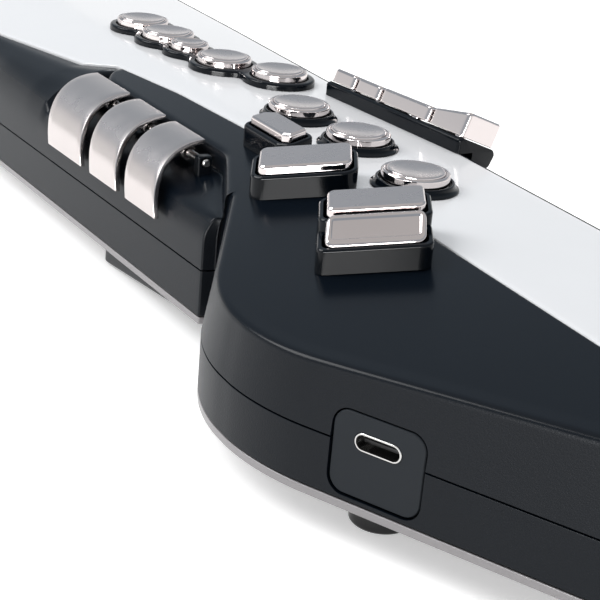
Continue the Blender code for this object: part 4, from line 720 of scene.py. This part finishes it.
# Round finger keys: low nickel-plated cups with a groove inside the rim and a satin dish, each on a stem
# that slides through the panel. The right hand's three have a flared black ring of their own.
chrome = plated("dark_nickel", (0.68, 0.625, 0.615), 0.06, 0.28, 0.80, 0.93)
gloss_black = finish("gloss_black", (0.003, 0.005, 0.008), 0.12, specular=0.18, drift=0.06)
CAP_BASE, CAP_HEIGHT, RING_HEIGHT, RING_FLARE = 1.3, 3.9, 1.7, 1.8
for name, (u, s, r) in ROUND_KEYS.items():
    stand = surface(u, s, level=True)
    cap = lathe(f"{name}_cap", [
        (2.2, -5.6), (2.2, CAP_BASE), (r - 0.15, CAP_BASE), (r, CAP_BASE + 0.2), (r, CAP_HEIGHT - 0.75),
        (r - 0.35, CAP_HEIGHT - 0.3), (r - 0.75, CAP_HEIGHT - 0.45), (r - 0.85, CAP_HEIGHT - 0.75),
        (r - 1.0, CAP_HEIGHT - 0.75), (r - 1.15, CAP_HEIGHT - 0.15), (r - 1.5, CAP_HEIGHT),
        (r * 0.62, CAP_HEIGHT - 0.28), (r * 0.3, CAP_HEIGHT - 0.5), (0.1, CAP_HEIGHT - 0.58),
    ], stand, easing=[0.2] * 5 + [0.3, 0.2, 0.1, 0.1, 0.2, 0.5, 1.2, 1.2, 0.1], sides=72)
    dress(cap, chrome, name, "key_chrome", name)
    if name.startswith("r"):
        foot = r + GAP + RING_FLARE
        ring = lathe(f"{name[:2]}_flare", [
            (foot, 0.03), (foot, 0.3), (r + 1.35, 0.75), (r + 1.0, RING_HEIGHT), (r + 0.5, RING_HEIGHT),
            (r + 0.4, 0.03),
        ], stand, easing=[0.05, 0.12, 0.4, 0.2, 0.15, 0.05], sides=72, closed=True)
        dress(ring, gloss_black, "body", "black_plastic", f"{name[:2]}_ring")

# Base of the left hand's keys: one black moulding that lies on the panel. Five discs are joined by webs,
# and each disc has a well round its cap.
discs = np.array([ROUND_KEYS[name] for name in ("l3_key", "l2_key", "bis_key", "l1_key", "front_f_key")])
disc_radii = discs[:, 2] + GAP + RING_FLARE
WEB_HALF_WIDTH, BLEND = 5.0, 1.4


def base_distance(points):
    """About how far points lie outside the discs and webs: a soft minimum of the distances to each."""
    far = [np.linalg.norm(points - disc[:2], axis=-1) - radius for disc, radius in zip(discs, disc_radii)]
    for a, b in zip(discs[:-1, :2], discs[1:, :2]):
        share = np.clip(((points - a) @ (b - a)) / ((b - a) @ (b - a)), 0, 1)
        far.append(np.linalg.norm(points - a - share[..., None] * (b - a), axis=-1) - WEB_HALF_WIDTH)
    return -np.log(np.exp(-BLEND * np.array(far)).sum(0)) / BLEND


stations = np.arange(discs[0, 1], discs[-1, 1], 0.5)
spine = np.column_stack((np.interp(stations, discs[:, 1], discs[:, 0]), stations))
fan = np.linspace(0, math.pi, 30)
origins = np.vstack((spine, np.repeat(discs[-1:, :2], 30, 0), spine[::-1], np.repeat(discs[:1, :2], 30, 0)))
ways = np.vstack((
    np.repeat([(-1.0, 0.0)], len(spine), 0), np.column_stack((-np.cos(fan), np.sin(fan))),
    np.repeat([(1.0, 0.0)], len(spine), 0), np.column_stack((np.cos(fan), -np.sin(fan))),
))
rings = []
for inset, height in ((0.0, 0.03), (0.0, 0.9), (0.04, 1.25), (0.15, 1.5), (0.35, 1.66), (0.7, RING_HEIGHT)):
    near, far = np.zeros(len(origins)), np.full(len(origins), 22.0)
    for _ in range(24):
        middle = (near + far) / 2
        outside = base_distance(origins + ways * middle[:, None]) > -inset
        near, far = np.where(outside, near, middle), np.where(outside, middle, far)
    plan = origins + ways * near[:, None]
    rings.append(np.column_stack((plan, top_height(plan[:, 0], plan[:, 1]) + height)))
left_hand_base = skin("left_hand_moulding", np.array(rings))
carve(left_hand_base, [
    lathe("well", [(r + 0.45, -3), (r + 0.45, 5)], surface(u, s, level=True), sides=64) for u, s, r in discs
])
dress(left_hand_base, gloss_black, "body", "black_plastic", "left_hand_base")


def flat_key(name, corners, radii, stand, base, back, front, stem, profile=None, material=None):
    """A key of any outline whose top slopes evenly from back to front, on a stem at the outline's centre."""
    corners = np.asarray(corners, float)
    near, far = corners[:, 1].min(), corners[:, 1].max()
    top = max(back, front)
    sides = profile or [(1.0, base), (0.1, base), (0.0, base + 0.1), (0.0, top - 0.4), (0.4, top)]

    def tilt(x, y):
        share = np.clip((y - near) / (far - near), 0, 1)
        return front + (back - front) * share - top
    plate = slab(f"{name}_top", corners, radii, sides, stand, easing=0.28, spacing=0.5, tilt=tilt)
    dress(plate, material or chrome, name, "key_chrome", name)
    radius, depth = stem
    centre = corners.mean(0)
    post = lathe(f"{name}_stem", [(radius, -depth), (radius, base + 0.3)], moved(stand, *centre), sides=24)
    dress(post, chrome, name, "key_chrome")


def under_surface(u, s, reach):
    """A cutter that fills everything under the top surface round a place."""
    across = np.linspace(u - reach, u + reach, 30)
    rows = []
    for station in (s - reach, s + reach):
        top = np.column_stack((across, np.full(30, station), top_height(across, station) + 0.04))
        low = top[::-1] - (0, 0, 12.0)
        rows.append(np.vstack((top, low)))
    return skin("under_surface", np.array(rows))


# Low keys for the right little finger: a black tray in two steps, turned to the hand, holds a flat bar at
# the back and in front a bar whose sloping face is framed by a rounded rim. Both are plated mouldings on
# sprung stems.
TRAY_WIDTH, TRAY_HEIGHT, STEP_HEIGHT = 21.5, 4.8, 7.2
KEY_STEM, KEY_BASE = (2.2, 5.6), 2.4
tray_front = slab("low_tray_front", rectangle(TRAY_WIDTH, 10.0, PAIR_MIDDLE, 5.0), 2.0,
                  [(0, 0.04), (0, TRAY_HEIGHT - 0.3), (0.3, TRAY_HEIGHT)], pair_stand)
tray_rear = slab("low_tray_rear", rectangle(TRAY_WIDTH - 0.1, 10.9, PAIR_MIDDLE, 13.35), 2.0,
                 [(0, 0.04), (0, STEP_HEIGHT - 0.3), (0.3, STEP_HEIGHT)], pair_stand)
for tray, nodes in ((tray_front, ["low_key_tray"]), (tray_rear, [])):
    wells = [rectangle(PAIR_WIDTH + 1.2, depth + 0.7, PAIR_MIDDLE, middle)
             for depth, middle in ((FRONT_DEPTH, FRONT_MIDDLE), (REAR_DEPTH, REAR_MIDDLE))]
    carve(tray, [slab("well", well, 1.7, [(0, -1), (0, 12)], pair_stand) for well in wells])
    dress(tray, gloss_black, "body", "black_plastic", *nodes)
rear_bar = rectangle(PAIR_WIDTH, REAR_DEPTH, PAIR_MIDDLE, REAR_MIDDLE)
flat_key("low_e_flat_key", rear_bar, 1.5, pair_stand, KEY_BASE, 9.0, 9.0, KEY_STEM)
front_bar = rectangle(PAIR_WIDTH, FRONT_DEPTH, PAIR_MIDDLE, FRONT_MIDDLE)
flat_key("low_c_key", front_bar, 1.5, pair_stand, KEY_BASE, 8.8, 5.4, KEY_STEM, profile=[
    (1.0, KEY_BASE), (0.1, KEY_BASE), (0.0, KEY_BASE + 0.1), (0.0, 8.1), (0.25, 8.6), (0.7, 8.8),
    (1.0, 8.7), (1.2, 8.35), (1.4, 8.3),
])

# Trill key and the six-sided key behind it, each in a black tray half on the shell and half on the panel.
# Both are flat plated mouldings on stems, as the low keys are.
SIX_SIDES = [(-2.6, -6.8), (-1.3, -8.5), (3.1, -7.4), (2.9, 6.1), (0.6, 8.4), (-3.0, 8.0)]
FLAT_TOP = 6.6
for name, tray_name, corners, radii, stand in (
    ("trill_key", "trill_key_tray", rectangle(19.4, 11.2), 1.9, trill_stand),
    ("side_f_sharp_key", "side_f_sharp_tray", SIX_SIDES, 0.5, hex_stand),
):
    tray = slab(f"{name}_holder", corners, radii, [
        (-1.5, -3.5), (-1.5, TRAY_HEIGHT - 0.3), (-1.2, TRAY_HEIGHT),
    ], stand)
    well = slab("well", corners, radii, [(-0.6, -6), (-0.6, 10)], stand)
    carve(tray, [well, under_surface(*stand[0][:2], 16.0)])
    dress(tray, gloss_black, "body", "black_plastic", tray_name)
    flat_key(name, corners, radii, stand, KEY_BASE, FLAT_TOP, FLAT_TOP, KEY_STEM)

# Side keys: three hooked plates side by side in the bay, plated satin, that swing on one steel rod. The rod
# runs through two posts under the wing's edge and through a hub below each plate.
side_plate = plated("satin_nickel", (0.60, 0.555, 0.545), 0.24, 0.30, 0.5, 0.9)
SIDE_KEYS = {
    "side_c_key": (167.9, 183.7), "side_b_flat_key": (188.9, 204.5), "side_high_e_key": (210.0, 231.4),
}
SIDE_LEAN, SIDE_THICKNESS, SIDE_CLEARANCE = 9.9, 1.2, 1.3


def rod_point(s):
    """The place on the rod's axis at a station, under the wing's edge."""
    reach = np.interp(s, *WING_EDGE)
    return np.array((-reach - 3.2, s, TOP_HEIGHT - TOP_FALL * reach + TOP_RISE * s - BAY_DEPTH + 2.1))


def hook_section(station, steps=36):
    """The section of a side key: a superellipse from the wing's edge over to the wall.

    With t from 0 to a quarter turn, the way across is sin t and the way down one less cos t, both to the
    power 2 / 2.44, and it leans to the bell as it goes down. The inner line is the outer one moved in by the
    thickness, at right angles to it.
    """
    reach = np.interp(station, *WING_EDGE)
    start = (-reach - SIDE_CLEARANCE, TOP_HEIGHT - TOP_FALL * reach + TOP_RISE * station + 1.1)
    wall = np.interp(station - SIDE_LEAN, *LEFT_WALL)
    end = (-wall - SIDE_CLEARANCE - SIDE_THICKNESS, 5.8)
    t = np.linspace(0, math.pi / 2, steps)
    across = np.sin(t) ** (2 / 2.44)
    down = 1 - np.clip(np.cos(t), 0, 1) ** (2 / 2.44)
    outer = np.column_stack((
        start[0] + (end[0] - start[0]) * across, station - SIDE_LEAN * t / t[-1],
        start[1] + (end[1] - start[1]) * down,
    ))
    ahead = np.gradient(outer, axis=0)
    away = unit(np.column_stack((-ahead[:, 2], np.zeros(steps), ahead[:, 0])))
    inner = outer + away * SIDE_THICKNESS
    return np.vstack((outer, inner[::-1]))


def bevelled(piece, width, segments=3):
    """Rounds the piece's sharp edges and keeps the result as its mesh."""
    bevel = piece.modifiers.new("edges", "BEVEL")
    bevel.width = width * MM
    bevel.segments = segments
    bevel.limit_method = "ANGLE"
    bevel.angle_limit = math.radians(40)
    graph = bpy.context.evaluated_depsgraph_get()
    mesh = bpy.data.meshes.new_from_object(piece.evaluated_get(graph))
    piece.modifiers.clear()
    piece.data = mesh
    return piece


rod_axis = unit(rod_point(234) - rod_point(160))
rod_x = unit(np.array((1.0, 0, 0)) - rod_axis * rod_axis[0])
rod_axes = np.stack((rod_x, np.cross(rod_axis, rod_x), rod_axis))
ROD_START, ROD_END = 162.3, 233.6
rod_length = np.linalg.norm(rod_point(ROD_END) - rod_point(ROD_START))
rod = lathe("hinge_rod", [(0.7, 0.3), (1.0, 0.6), (1.0, rod_length - 0.6), (0.7, rod_length - 0.3)],
            (rod_point(ROD_START), rod_axes), 0.1, sides=24)
dress(rod, steel, "body", "steel", "side_key_rod")
for name, station in (("rod_post_front", 164.5), ("rod_post_rear", 232.0)):
    stand = (rod_point(station), UPRIGHT)
    post = slab(name, rectangle(3.6, 2.4), 0.5, [(0, -2.9), (0, 1.2), (0.3, 1.5)], stand)
    carve(post, [lathe("bore", [(1.3, -4), (1.3, 4)], (rod_point(station), rod_axes), sides=24)])
    dress(post, shell_black, "body", "black_plastic")
for name, (near, far) in SIDE_KEYS.items():
    plate = skin(f"{name}_plate", np.array([hook_section(station) for station in np.linspace(near, far, 9)]))
    dress(bevelled(plate, 0.22), side_plate, name, "key_chrome", name)
    anchor = rod_point((near + far) / 2)
    half = (far - near) / 4
    profile = [(1.9, -half), (1.9, half), (1.3, half), (1.3, -half)]
    hub = lathe(f"{name}_hub", profile, (anchor, rod_axes), 0.15, sides=32, closed=True)
    dress(hub, side_plate, name, "key_chrome")
    web = slab(f"{name}_web", rectangle(2.4, 2 * half - 1), 0.4, [(0, 1.3), (0, 3.4)], (anchor, UPRIGHT))
    dress(web, side_plate, name, "key_chrome")

# Pod for the left little finger: a black bracket that leans out over the right shoulder, with four plated
# keys. Each key's walls reach down to a shallow well in the bracket, which gives them room to travel.
KEY_WIDTH, WELL_DEPTH = 10.8, 1.5
POD_SECTION = np.array(((0, -0.8), (0.8, 0), (11.6, 0), (12.6, -1), (12.3, -4.2), (11.3, -5), (1.5, -4.7)))
section = eased(POD_SECTION, 0.5)
share = np.linspace(0, math.pi / 2, 6)
ends = 1.2 * (1 - np.cos(share))
along = np.concatenate((ends, POD_LENGTH - ends[::-1]))
shrink = 0.9 + 0.1 * np.sin(np.concatenate((share, share[::-1])))
centre = np.array((POD_MIDDLE, -2.2))
rings = centre + (section - centre) * shrink[:, None, None]
grid = np.stack((rings[..., 0], np.repeat(along[:, None], len(section), 1), rings[..., 1]), -1)
pod = skin("pod_bracket", put(grid, pod_stand))
wall = np.interp(170.0, *RIGHT_WALL) + 0.1
under = [[(0, s, top_height(0, s) + 0.04), (wall, s, top_height(wall, s) + 0.04),
          (wall, s, 4.0), (0, s, 4.0)] for s in (136.0, 202.0)]
cuts = [skin("under_pod", np.array(under))]
for start, size, _, _ in CLUSTER_KEYS.values():
    place = (POD_MIDDLE, (start + size / 2) * POD_LENGTH)
    hole = [(POD_STEM_HOLE, -9), (POD_STEM_HOLE, 4)]
    cuts.append(lathe("stem_hole", hole, moved(pod_stand, *place), sides=24))
    well = rectangle(KEY_WIDTH + 0.6, size * POD_LENGTH + 0.6, *place)
    cuts.append(slab("well", well, 1.3, [(0, -WELL_DEPTH), (0, 4)], pod_stand))
carve(pod, cuts)
dress(pod, gloss_black, "body", "black_plastic", "cluster_base")
for name, (start, size, back, front) in CLUSTER_KEYS.items():
    outline = rectangle(KEY_WIDTH, size * POD_LENGTH, POD_MIDDLE, (start + size / 2) * POD_LENGTH)
    flat_key(name, outline, 1.1, pod_stand, 0.15, back, front, (1.5, 3.0))

# Palm keys: three plated push keys on the right wall, for the palm of the left hand. Each slides into the
# wall on a stem.
for name, stand in palm_stands.items():
    flat_key(name, rectangle(18, 9), 2.0, stand, 2.1, 4.1, 4.1, (2.2, 4.0), material=side_plate)

# Battery cover: a black tub under the plate that deepens and widens towards the neck, where it is hinged.
# Grip ribs cross it near its free end.
rear_black = finish("rear_black", BLACK, 0.34, specular=0.2, grain=0.012, grain_size=0.35)
COVER_END, COVER_LENGTH, COVER_WALL, COVER_BEND = 199.0, 57.0, 1.0, 0.8
NEAR_HALF_WIDTH, WIDENING, NEAR_DEPTH, DEEPENING = 30.3, 2.9, 1.4, 4.5
RIB_START, RIB_PITCH = 147.0, 2.2


def cover_depth(y):
    """The depth of the cover's sloping underside, from its free end to its hinge, where y is 0."""
    return NEAR_DEPTH + DEEPENING * (1 + y / COVER_LENGTH)


def cover_ring(inset, level, deep=True):
    """The cover's outline moved inwards, at a level above its underside or, if not deep, above its rim."""
    corners = np.array(rectangle(2.0, COVER_LENGTH - 2 * inset, 0, -COVER_LENGTH / 2))
    corners[:, 0] *= NEAR_HALF_WIDTH + WIDENING * (1 + corners[:, 1] / COVER_LENGTH) - inset
    ring, _ = rounded(corners, np.full(4, 3.0 - inset), 1.0)
    height = level - cover_depth(ring[:, 1]) if deep else np.full(len(ring), level)
    return np.column_stack((ring, height))


bend = np.linspace(0, math.pi / 2, 6)
rings = [cover_ring(COVER_WALL, COVER_WALL), cover_ring(COVER_WALL, 0.0, deep=False)]
rings += [cover_ring(0.0, 0.0, deep=False)]
rings += [cover_ring(COVER_BEND * (1 - math.cos(a)), COVER_BEND * (1 - math.sin(a))) for a in bend]
count = min(len(ring) for ring in rings)
even = [ring[np.linspace(0, len(ring) - 1, count).round().astype(int)] for ring in rings]
cover = skin("battery_cover_tub", np.array(even) + (0, COVER_END, COVER_FACE))
dress(cover, rear_black, "battery_cover", "black_plastic", "battery_cover")
for index in range(4):
    s = RIB_START + RIB_PITCH * index
    depth = cover_depth(s - COVER_END)
    profile = [(0, depth - 0.3), (0, depth + 0.2), (0.2, depth + 0.35)]
    stand = rear(0, s, COVER_FACE)
    rib = slab(f"grip_rib_{index + 1}", rectangle(14, 0.9), 0.44, profile, stand, easing=0.1)
    dress(rib, rear_black, "battery_cover", "black_plastic")

# Rear controls: two octave keys for the left thumb, three silver buttons and a dark display window in the
# plate.
for name, s in OCTAVE_STATIONS.items():
    flat_key(name, rectangle(20, 9), 2.0, rear(0, s), 2.1, 4.3, 4.3, (2.2, 5.0), material=side_plate)
for name, u in BUTTONS.items():
    button = lathe(f"{name}_cap", [(3.0, -3.4), (3.0, 0.9), (2.6, 1.3), (2.0, 1.15), (0.1, 1.05)],
                   rear(u, BUTTON_STATION), easing=0.15)
    dress(button, silver, name, "silver_plate", name)
glass = finish("display_glass", (0.008, 0.010, 0.013), 0.06, specular=0.6, drift=0.05)
window = slab("display_pane", rectangle(30, 14), 1.5, [(0, -1.55), (0, -0.2), (0.1, -0.1)],
              rear(0, DISPLAY_STATION), easing=0.05)
dress(window, glass, "body", "display_glass", "display_window")

# Thumb rest: a black rubber hook through which the right thumb carries the weight. It slides along the
# plate to suit the hand.
rubber = finish("black_rubber", (0.012, 0.012, 0.013), 0.5, specular=0.4, grain=0.01, grain_size=0.2)
REST_STATION, REST_HALF_LENGTH, REST_HALF_WIDTH, REST_HEIGHT = 234.0, 9.0, 10.0, 5.4
REST_PROFILE = np.array((
    (-1.0, 0.0), (1.0, 0.0), (1.0, -0.92), (0.86, -1.0), (0.74, -0.92), (0.66, -0.62), (0.42, -0.38),
    (0.1, -0.3), (-1.0, -0.26),
))
section = eased(REST_PROFILE * (REST_HALF_LENGTH, REST_HEIGHT), 0.7) + (REST_STATION, COVER_FACE)
rows = [np.column_stack((np.full(len(section), u), section))
        for u in np.linspace(-REST_HALF_WIDTH, REST_HALF_WIDTH, 9)]
rest = bevelled(skin("thumb_rest_hook", np.array(rows)), 0.5, 4)
dress(rest, rubber, "thumb_rest", "rubber", "thumb_rest")

# Strap ring: a steel wire 2.4 mm thick, bent to a D. Its straight side turns in the bores of the plate's
# two ears.
WIRE_RADIUS = 1.2
bar = np.column_stack((np.linspace(-7.6, 7.6, 14), np.zeros(14)))
angle = np.linspace(0, math.pi, 48)
bow = np.column_stack((9.2 * np.cos(angle), 1.2 + 7.6 * np.sin(angle)))
path = np.vstack((bar, bow))
way = unit(np.roll(path, -1, axis=0) - np.roll(path, 1, axis=0))
side = np.column_stack((way[:, 1], -way[:, 0]))
angle = np.arange(16) * math.pi / 8
spread = path[:, None] + side[:, None] * (WIRE_RADIUS * np.cos(angle))[None, :, None]
rise = np.broadcast_to(WIRE_RADIUS * np.sin(angle), (len(path), len(angle)))
grid = np.concatenate([spread, rise[..., None]], -1)
ring = skin("strap_ring_wire", grid + (0, RING_STATION, RING_LEVEL), wrap_rows=True)
dress(ring, steel, "strap_ring", "steel", "strap_ring")

# Jack plate: a matt black insert across the seam on the bell's left wall, around a USB-C socket of nickel-
# plated steel with a black tongue. The left and right phones jack sits on the other wall.
matt_black = finish("matt_black", (0.0085, 0.0125, 0.0175), 0.55, specular=0.20, grain=0.006, grain_size=0.25)
dark = finish("socket_black", (0.003, 0.003, 0.0035), 0.4, specular=0.3)
USB_WIDTH, USB_HEIGHT, USB_WALL, USB_RISE = 8.94, 3.26, 0.3, 1.0
plate = slab("jack_plate_insert", rectangle(JACK_WIDTH, JACK_HEIGHT, 0, JACK_RISE), JACK_CORNER,
             [(0, -1.85), (0, -0.45), (0.2, -0.25)], jack_stand, easing=0.12)
outline = rectangle(USB_WIDTH + 0.2, USB_HEIGHT + 0.2, 0, USB_RISE)
carve(plate, [slab("usb_hole", outline, 1.72, [(0, -4), (0, 2)], jack_stand, spacing=0.2)])
dress(plate, matt_black, "body", "black_plastic", "jack_plate")
outline = rectangle(USB_WIDTH, USB_HEIGHT, 0, USB_RISE)
profile = [(0, -7.4), (0, -0.2), (0.08, -0.1)]
socket = slab("usb_shell", outline, 1.62, profile, jack_stand, easing=0.04, spacing=0.15)
outline = rectangle(USB_WIDTH - 2 * USB_WALL, USB_HEIGHT - 2 * USB_WALL, 0, USB_RISE)
carve(socket, [slab("cavity", outline, 1.32, [(0, -6.4), (0, 2)], jack_stand, spacing=0.15)])
dress(socket, steel, "body", "steel", "usb_socket")
outline = rectangle(8.28, 2.6, 0, USB_RISE)
liner = slab("usb_liner", outline, 1.29, [(0, -6.38), (0, -5.9)], jack_stand, spacing=0.2)
dress(liner, dark, "body", "steel")
profile = [(0, -5.95), (0, -1.35), (0.08, -1.3)]
tongue = slab("usb_tongue", rectangle(6.69, 0.7, 0, USB_RISE), 0.2, profile, jack_stand, easing=0.04)
dress(tongue, dark, "body", "steel")
phones = lathe("phones_barrel", [(3.3, -12), (3.3, 0.2), (2.9, 0.6), (1.95, 0.6), (1.8, 0.4), (1.8, -12)],
               phones_stand, easing=0.12, closed=True)
dress(phones, steel, "body", "steel", "phones_jack")
stop = lathe("phones_stop", [(1.75, -11.9), (1.75, -11.0), (0.1, -11.0)], phones_stand, easing=0.05, sides=32)
dress(stop, dark, "body", "steel")

# Feet: two glossy rubber buttons under the bell and a rubber bar under the neck's end. They are glued to
# the back plate, and the instrument rests on them.
foot_rubber = finish("foot_rubber", (0.006, 0.006, 0.007), 0.2, specular=0.5, drift=0.1)
FOOT_RADIUS, FOOT_HEIGHT, FOOT_BEND, FOOT_STATION, NECK_FOOT_STATION = 5.7, 6.5, 0.4, 63.3, 412.0
for name, u in (("bell_foot_left", -31.5), ("bell_foot_right", 25.0)):
    inner = FOOT_RADIUS - FOOT_BEND
    profile = [(inner, 0.02), (inner, 0.6), (FOOT_RADIUS, 1.0), (FOOT_RADIUS, FOOT_HEIGHT - FOOT_BEND),
               (inner, FOOT_HEIGHT)]
    foot = lathe(f"{name}_button", profile, rear(u, FOOT_STATION), easing=0.3, sides=64)
    dress(foot, foot_rubber, "body", "rubber", name)
bar = slab("neck_foot_bar", rectangle(40, 9), 3.0, [(0, 0.02), (0, FOOT_HEIGHT - 0.5), (0.5, FOOT_HEIGHT)],
           rear(0, NECK_FOOT_STATION))
dress(bar, rubber, "body", "rubber", "neck_foot")

# Neck collar: a turned black ring glued to the neck's end. The breath passes through its bore to the
# sensor.
profile = [(13.5, 0.3), (15, 1.8), (15, 13), (12.5, 16), (1.9, 16), (1.9, 0.3)]
collar = lathe("collar_ring", profile, collar_stand, 0.5, sides=96, closed=True)
dress(collar, gloss_black, "body", "black_plastic", "neck_collar")

# Mouthpiece: a black moulding whose round shank runs out into a beak, with a flat table below for the bite
# plate.
MOUTH_LENGTH, TILT = 104.0, math.radians(6)
TABLE_START, TABLE_DEPTH, TABLE_FALL = 47.0, 7.5, 0.8
MOUTH_SECTIONS = np.array((
    (1.6, 11.5, -11.5, 11.5), (30, 11.5, -11.5, 11.5), (46, 11.0, -11.0, 11.0), (48, 10.8, -10.8, 10.9),
    (70, 9.8, -7.4, 10.5), (90, 8.4, -0.9, 9.6), (MOUTH_LENGTH, 7.2, 4.8, 8.6),
))
z_axis = np.array((0, math.cos(TILT), -math.sin(TILT)))
mouth_stand = (np.array((0.0, 456.0, 4.0)), np.stack(((1.0, 0, 0), np.cross(z_axis, (1.0, 0, 0)), z_axis)))
heights = np.concatenate((
    np.linspace(1.6, 46, 24), np.linspace(46.5, 50, 8), np.linspace(51, 103, 60), (103.5, 103.9),
))
half, upper, lower = (smoothed((MOUTH_SECTIONS[:, 0], MOUTH_SECTIONS[:, k]), heights, 4.0) for k in (1, 2, 3))
half[-1] *= 0.96
half[0] *= 0.97
angle = np.linspace(0, 2 * math.pi, 72, endpoint=False)
x = half[:, None] * np.cos(angle)
y = ((upper + lower) / 2)[:, None] + ((lower - upper) / 2)[:, None] * np.sin(angle)
share = (heights - TABLE_START) / (MOUTH_LENGTH - TABLE_START)
table = np.where(share > 0, TABLE_DEPTH - TABLE_FALL * share, np.inf)
y = np.minimum(y, table[:, None])
z = np.repeat(heights[:, None], len(angle), 1)
mouthpiece = skin("mouthpiece_body", put(np.stack((x, y, z), -1), mouth_stand))
window_stand = moved(mouth_stand, 0.0, 4.4, 0.0)
carve(mouthpiece, [
    lathe("channel", [(1.9, -1), (1.9, 74)], mouth_stand, sides=32),
    slab("window", rectangle(7, 10), 1.0, [(0, 68), (0, 97)], window_stand),
])
dress(mouthpiece, gloss_black, "body", "black_plastic", "mouthpiece")

# Bite plate: a springy black tongue that stands in for a reed. It lies over the mouthpiece's table and
# thins towards the tip.
BITE_START = 52.0
bite_stand = moved(mouth_stand, 0.0, TABLE_DEPTH + GAP, BITE_START)
length = MOUTH_LENGTH - BITE_START - 0.4
z = np.linspace(0, length, 24)
half = np.interp(z, (0, length * 0.45, length), (5.9, 6.5, 6.3))
thick = np.interp(z, (0, length * 0.45, length), (1.8, 1.8, 0.9))
section = eased(np.array(((-1, 0), (1, 0), (1, 0.6), (0.6, 1), (-0.6, 1), (-1, 0.6))), 0.1)
x = half[:, None] * section[:, 0]
y = thick[:, None] * section[:, 1]
z = np.repeat(z[:, None], len(section), 1)
bite = skin("bite_plate_tongue", put(np.stack((x, y, z), -1), bite_stand))
dress(bite, rubber, "bite_plate", "rubber", "bite_plate")

# Stage: a plain white floor, and a camera at the photograph's angle. The floor glows where the camera or a
# reflection sees it, so that it shows white, and it still takes the object's shadow.
FLOOR_GLOW = 0.42
floor_mesh = bpy.data.meshes.new("floor")
floor_mesh.from_pydata([(-6, -6, 0), (6, -6, 0), (6, 6, 0), (-6, 6, 0)], [], [(0, 1, 2, 3)])
floor = bpy.data.objects.new("floor", floor_mesh)
bpy.context.scene.collection.objects.link(floor)
pale = bpy.data.materials.new("pale_floor")
pale.use_nodes = True
nodes, links = pale.node_tree.nodes, pale.node_tree.links
floor_shader = nodes["Principled BSDF"]
floor_shader.inputs["Base Color"].default_value = (0.9, 0.9, 0.9, 1)
floor_shader.inputs["Roughness"].default_value = 0.9
floor_shader.inputs["Specular IOR Level"].default_value = 0.0
floor_shader.inputs["Emission Color"].default_value = (1, 1, 1, 1)
path = nodes.new("ShaderNodeLightPath")
glow = nodes.new("ShaderNodeMath")
glow.operation = "MULTIPLY"
glow.inputs[1].default_value = FLOOR_GLOW
shown = nodes.new("ShaderNodeMath")
shown.operation = "MAXIMUM"
links.new(path.outputs["Is Camera Ray"], shown.inputs[0])
links.new(path.outputs["Is Glossy Ray"], shown.inputs[1])
links.new(shown.outputs["Value"], glow.inputs[0])
links.new(glow.outputs["Value"], floor_shader.inputs["Emission Strength"])
floor.data.materials.append(pale)

camera = bpy.data.objects.new("camera", bpy.data.cameras.new("camera"))
camera.data.lens = 85.26
camera.data.sensor_width = 36
camera.location = Vector((-0.14868, -0.39710, 0.12201))
camera.rotation_euler = Euler([math.radians(a) for a in (69.024, -4.764, -27.420)])
camera.data.clip_start = 0.01
bpy.context.scene.collection.objects.link(camera)
bpy.context.scene.camera = camera
bpy.context.scene.view_settings.view_transform = "Standard"

# Studio: white where the camera looks past the floor, even light, and for reflections a dome whose
# brightness and coolness change with the height, given as (height, level, coolness).
DOME = (
    (0.0, 1.0, 0.0), (0.17, 1.0, 0.0), (0.36, 0.42, 0.12), (0.62, 0.42, 0.12), (0.9, 0.6, 0.0),
    (1.0, 0.6, 0.0),
)
world = bpy.data.worlds.new("studio")
bpy.context.scene.world = world
world.use_nodes = True
nodes, links = world.node_tree.nodes, world.node_tree.links
background = nodes["Background"]
place = nodes.new("ShaderNodeTexCoord")
split = nodes.new("ShaderNodeSeparateXYZ")
links.new(place.outputs["Generated"], split.inputs["Vector"])
ramp = nodes.new("ShaderNodeValToRGB")
for index, (position, level, coolness) in enumerate(DOME):
    stop = ramp.color_ramp.elements[index] if index < 2 else ramp.color_ramp.elements.new(position)
    stop.position = position
    stop.color = (level * (1 - coolness), level, level * (1 + coolness), 1)
links.new(split.outputs["Z"], ramp.inputs["Fac"])
path = nodes.new("ShaderNodeLightPath")
mirror = nodes.new("ShaderNodeMix")
mirror.data_type = "RGBA"
mirror.inputs["A"].default_value = (0.5, 0.5, 0.5, 1)
links.new(path.outputs["Is Glossy Ray"], mirror.inputs["Factor"])
links.new(ramp.outputs["Color"], mirror.inputs["B"])
seen = nodes.new("ShaderNodeMix")
seen.data_type = "RGBA"
seen.inputs["B"].default_value = (1, 1, 1, 1)
links.new(path.outputs["Is Camera Ray"], seen.inputs["Factor"])
links.new(mirror.outputs["Result"], seen.inputs["A"])
links.new(seen.outputs["Result"], background.inputs["Color"])


def softbox(name, place, target, width, height, power):
    """An area lamp at a place, turned to a target, with its power in watts."""
    lamp = bpy.data.objects.new(name, bpy.data.lights.new(name, "AREA"))
    lamp.data.shape = "RECTANGLE"
    lamp.data.size, lamp.data.size_y, lamp.data.energy = width, height, power
    lamp.location = Vector(place)
    lamp.rotation_euler = (Vector(target) - Vector(place)).to_track_quat("-Z", "Y").to_euler()
    bpy.context.scene.collection.objects.link(lamp)
    return lamp


middle = (0.0, -0.15, 0.0)
softbox("key_light", (-0.9, 0.5, 1.1), middle, 0.8, 0.8, 14)
overhead = softbox("overhead", (0.2, 0.0, 1.6), middle, 1.6, 1.6, 10)
overhead.visible_glossy = False
low_panel = softbox("low_panel", (-0.50, -0.62, 0.12), (0.0, -0.27, 0.02), 0.5, 0.18, 6)
low_panel.visible_diffuse = False
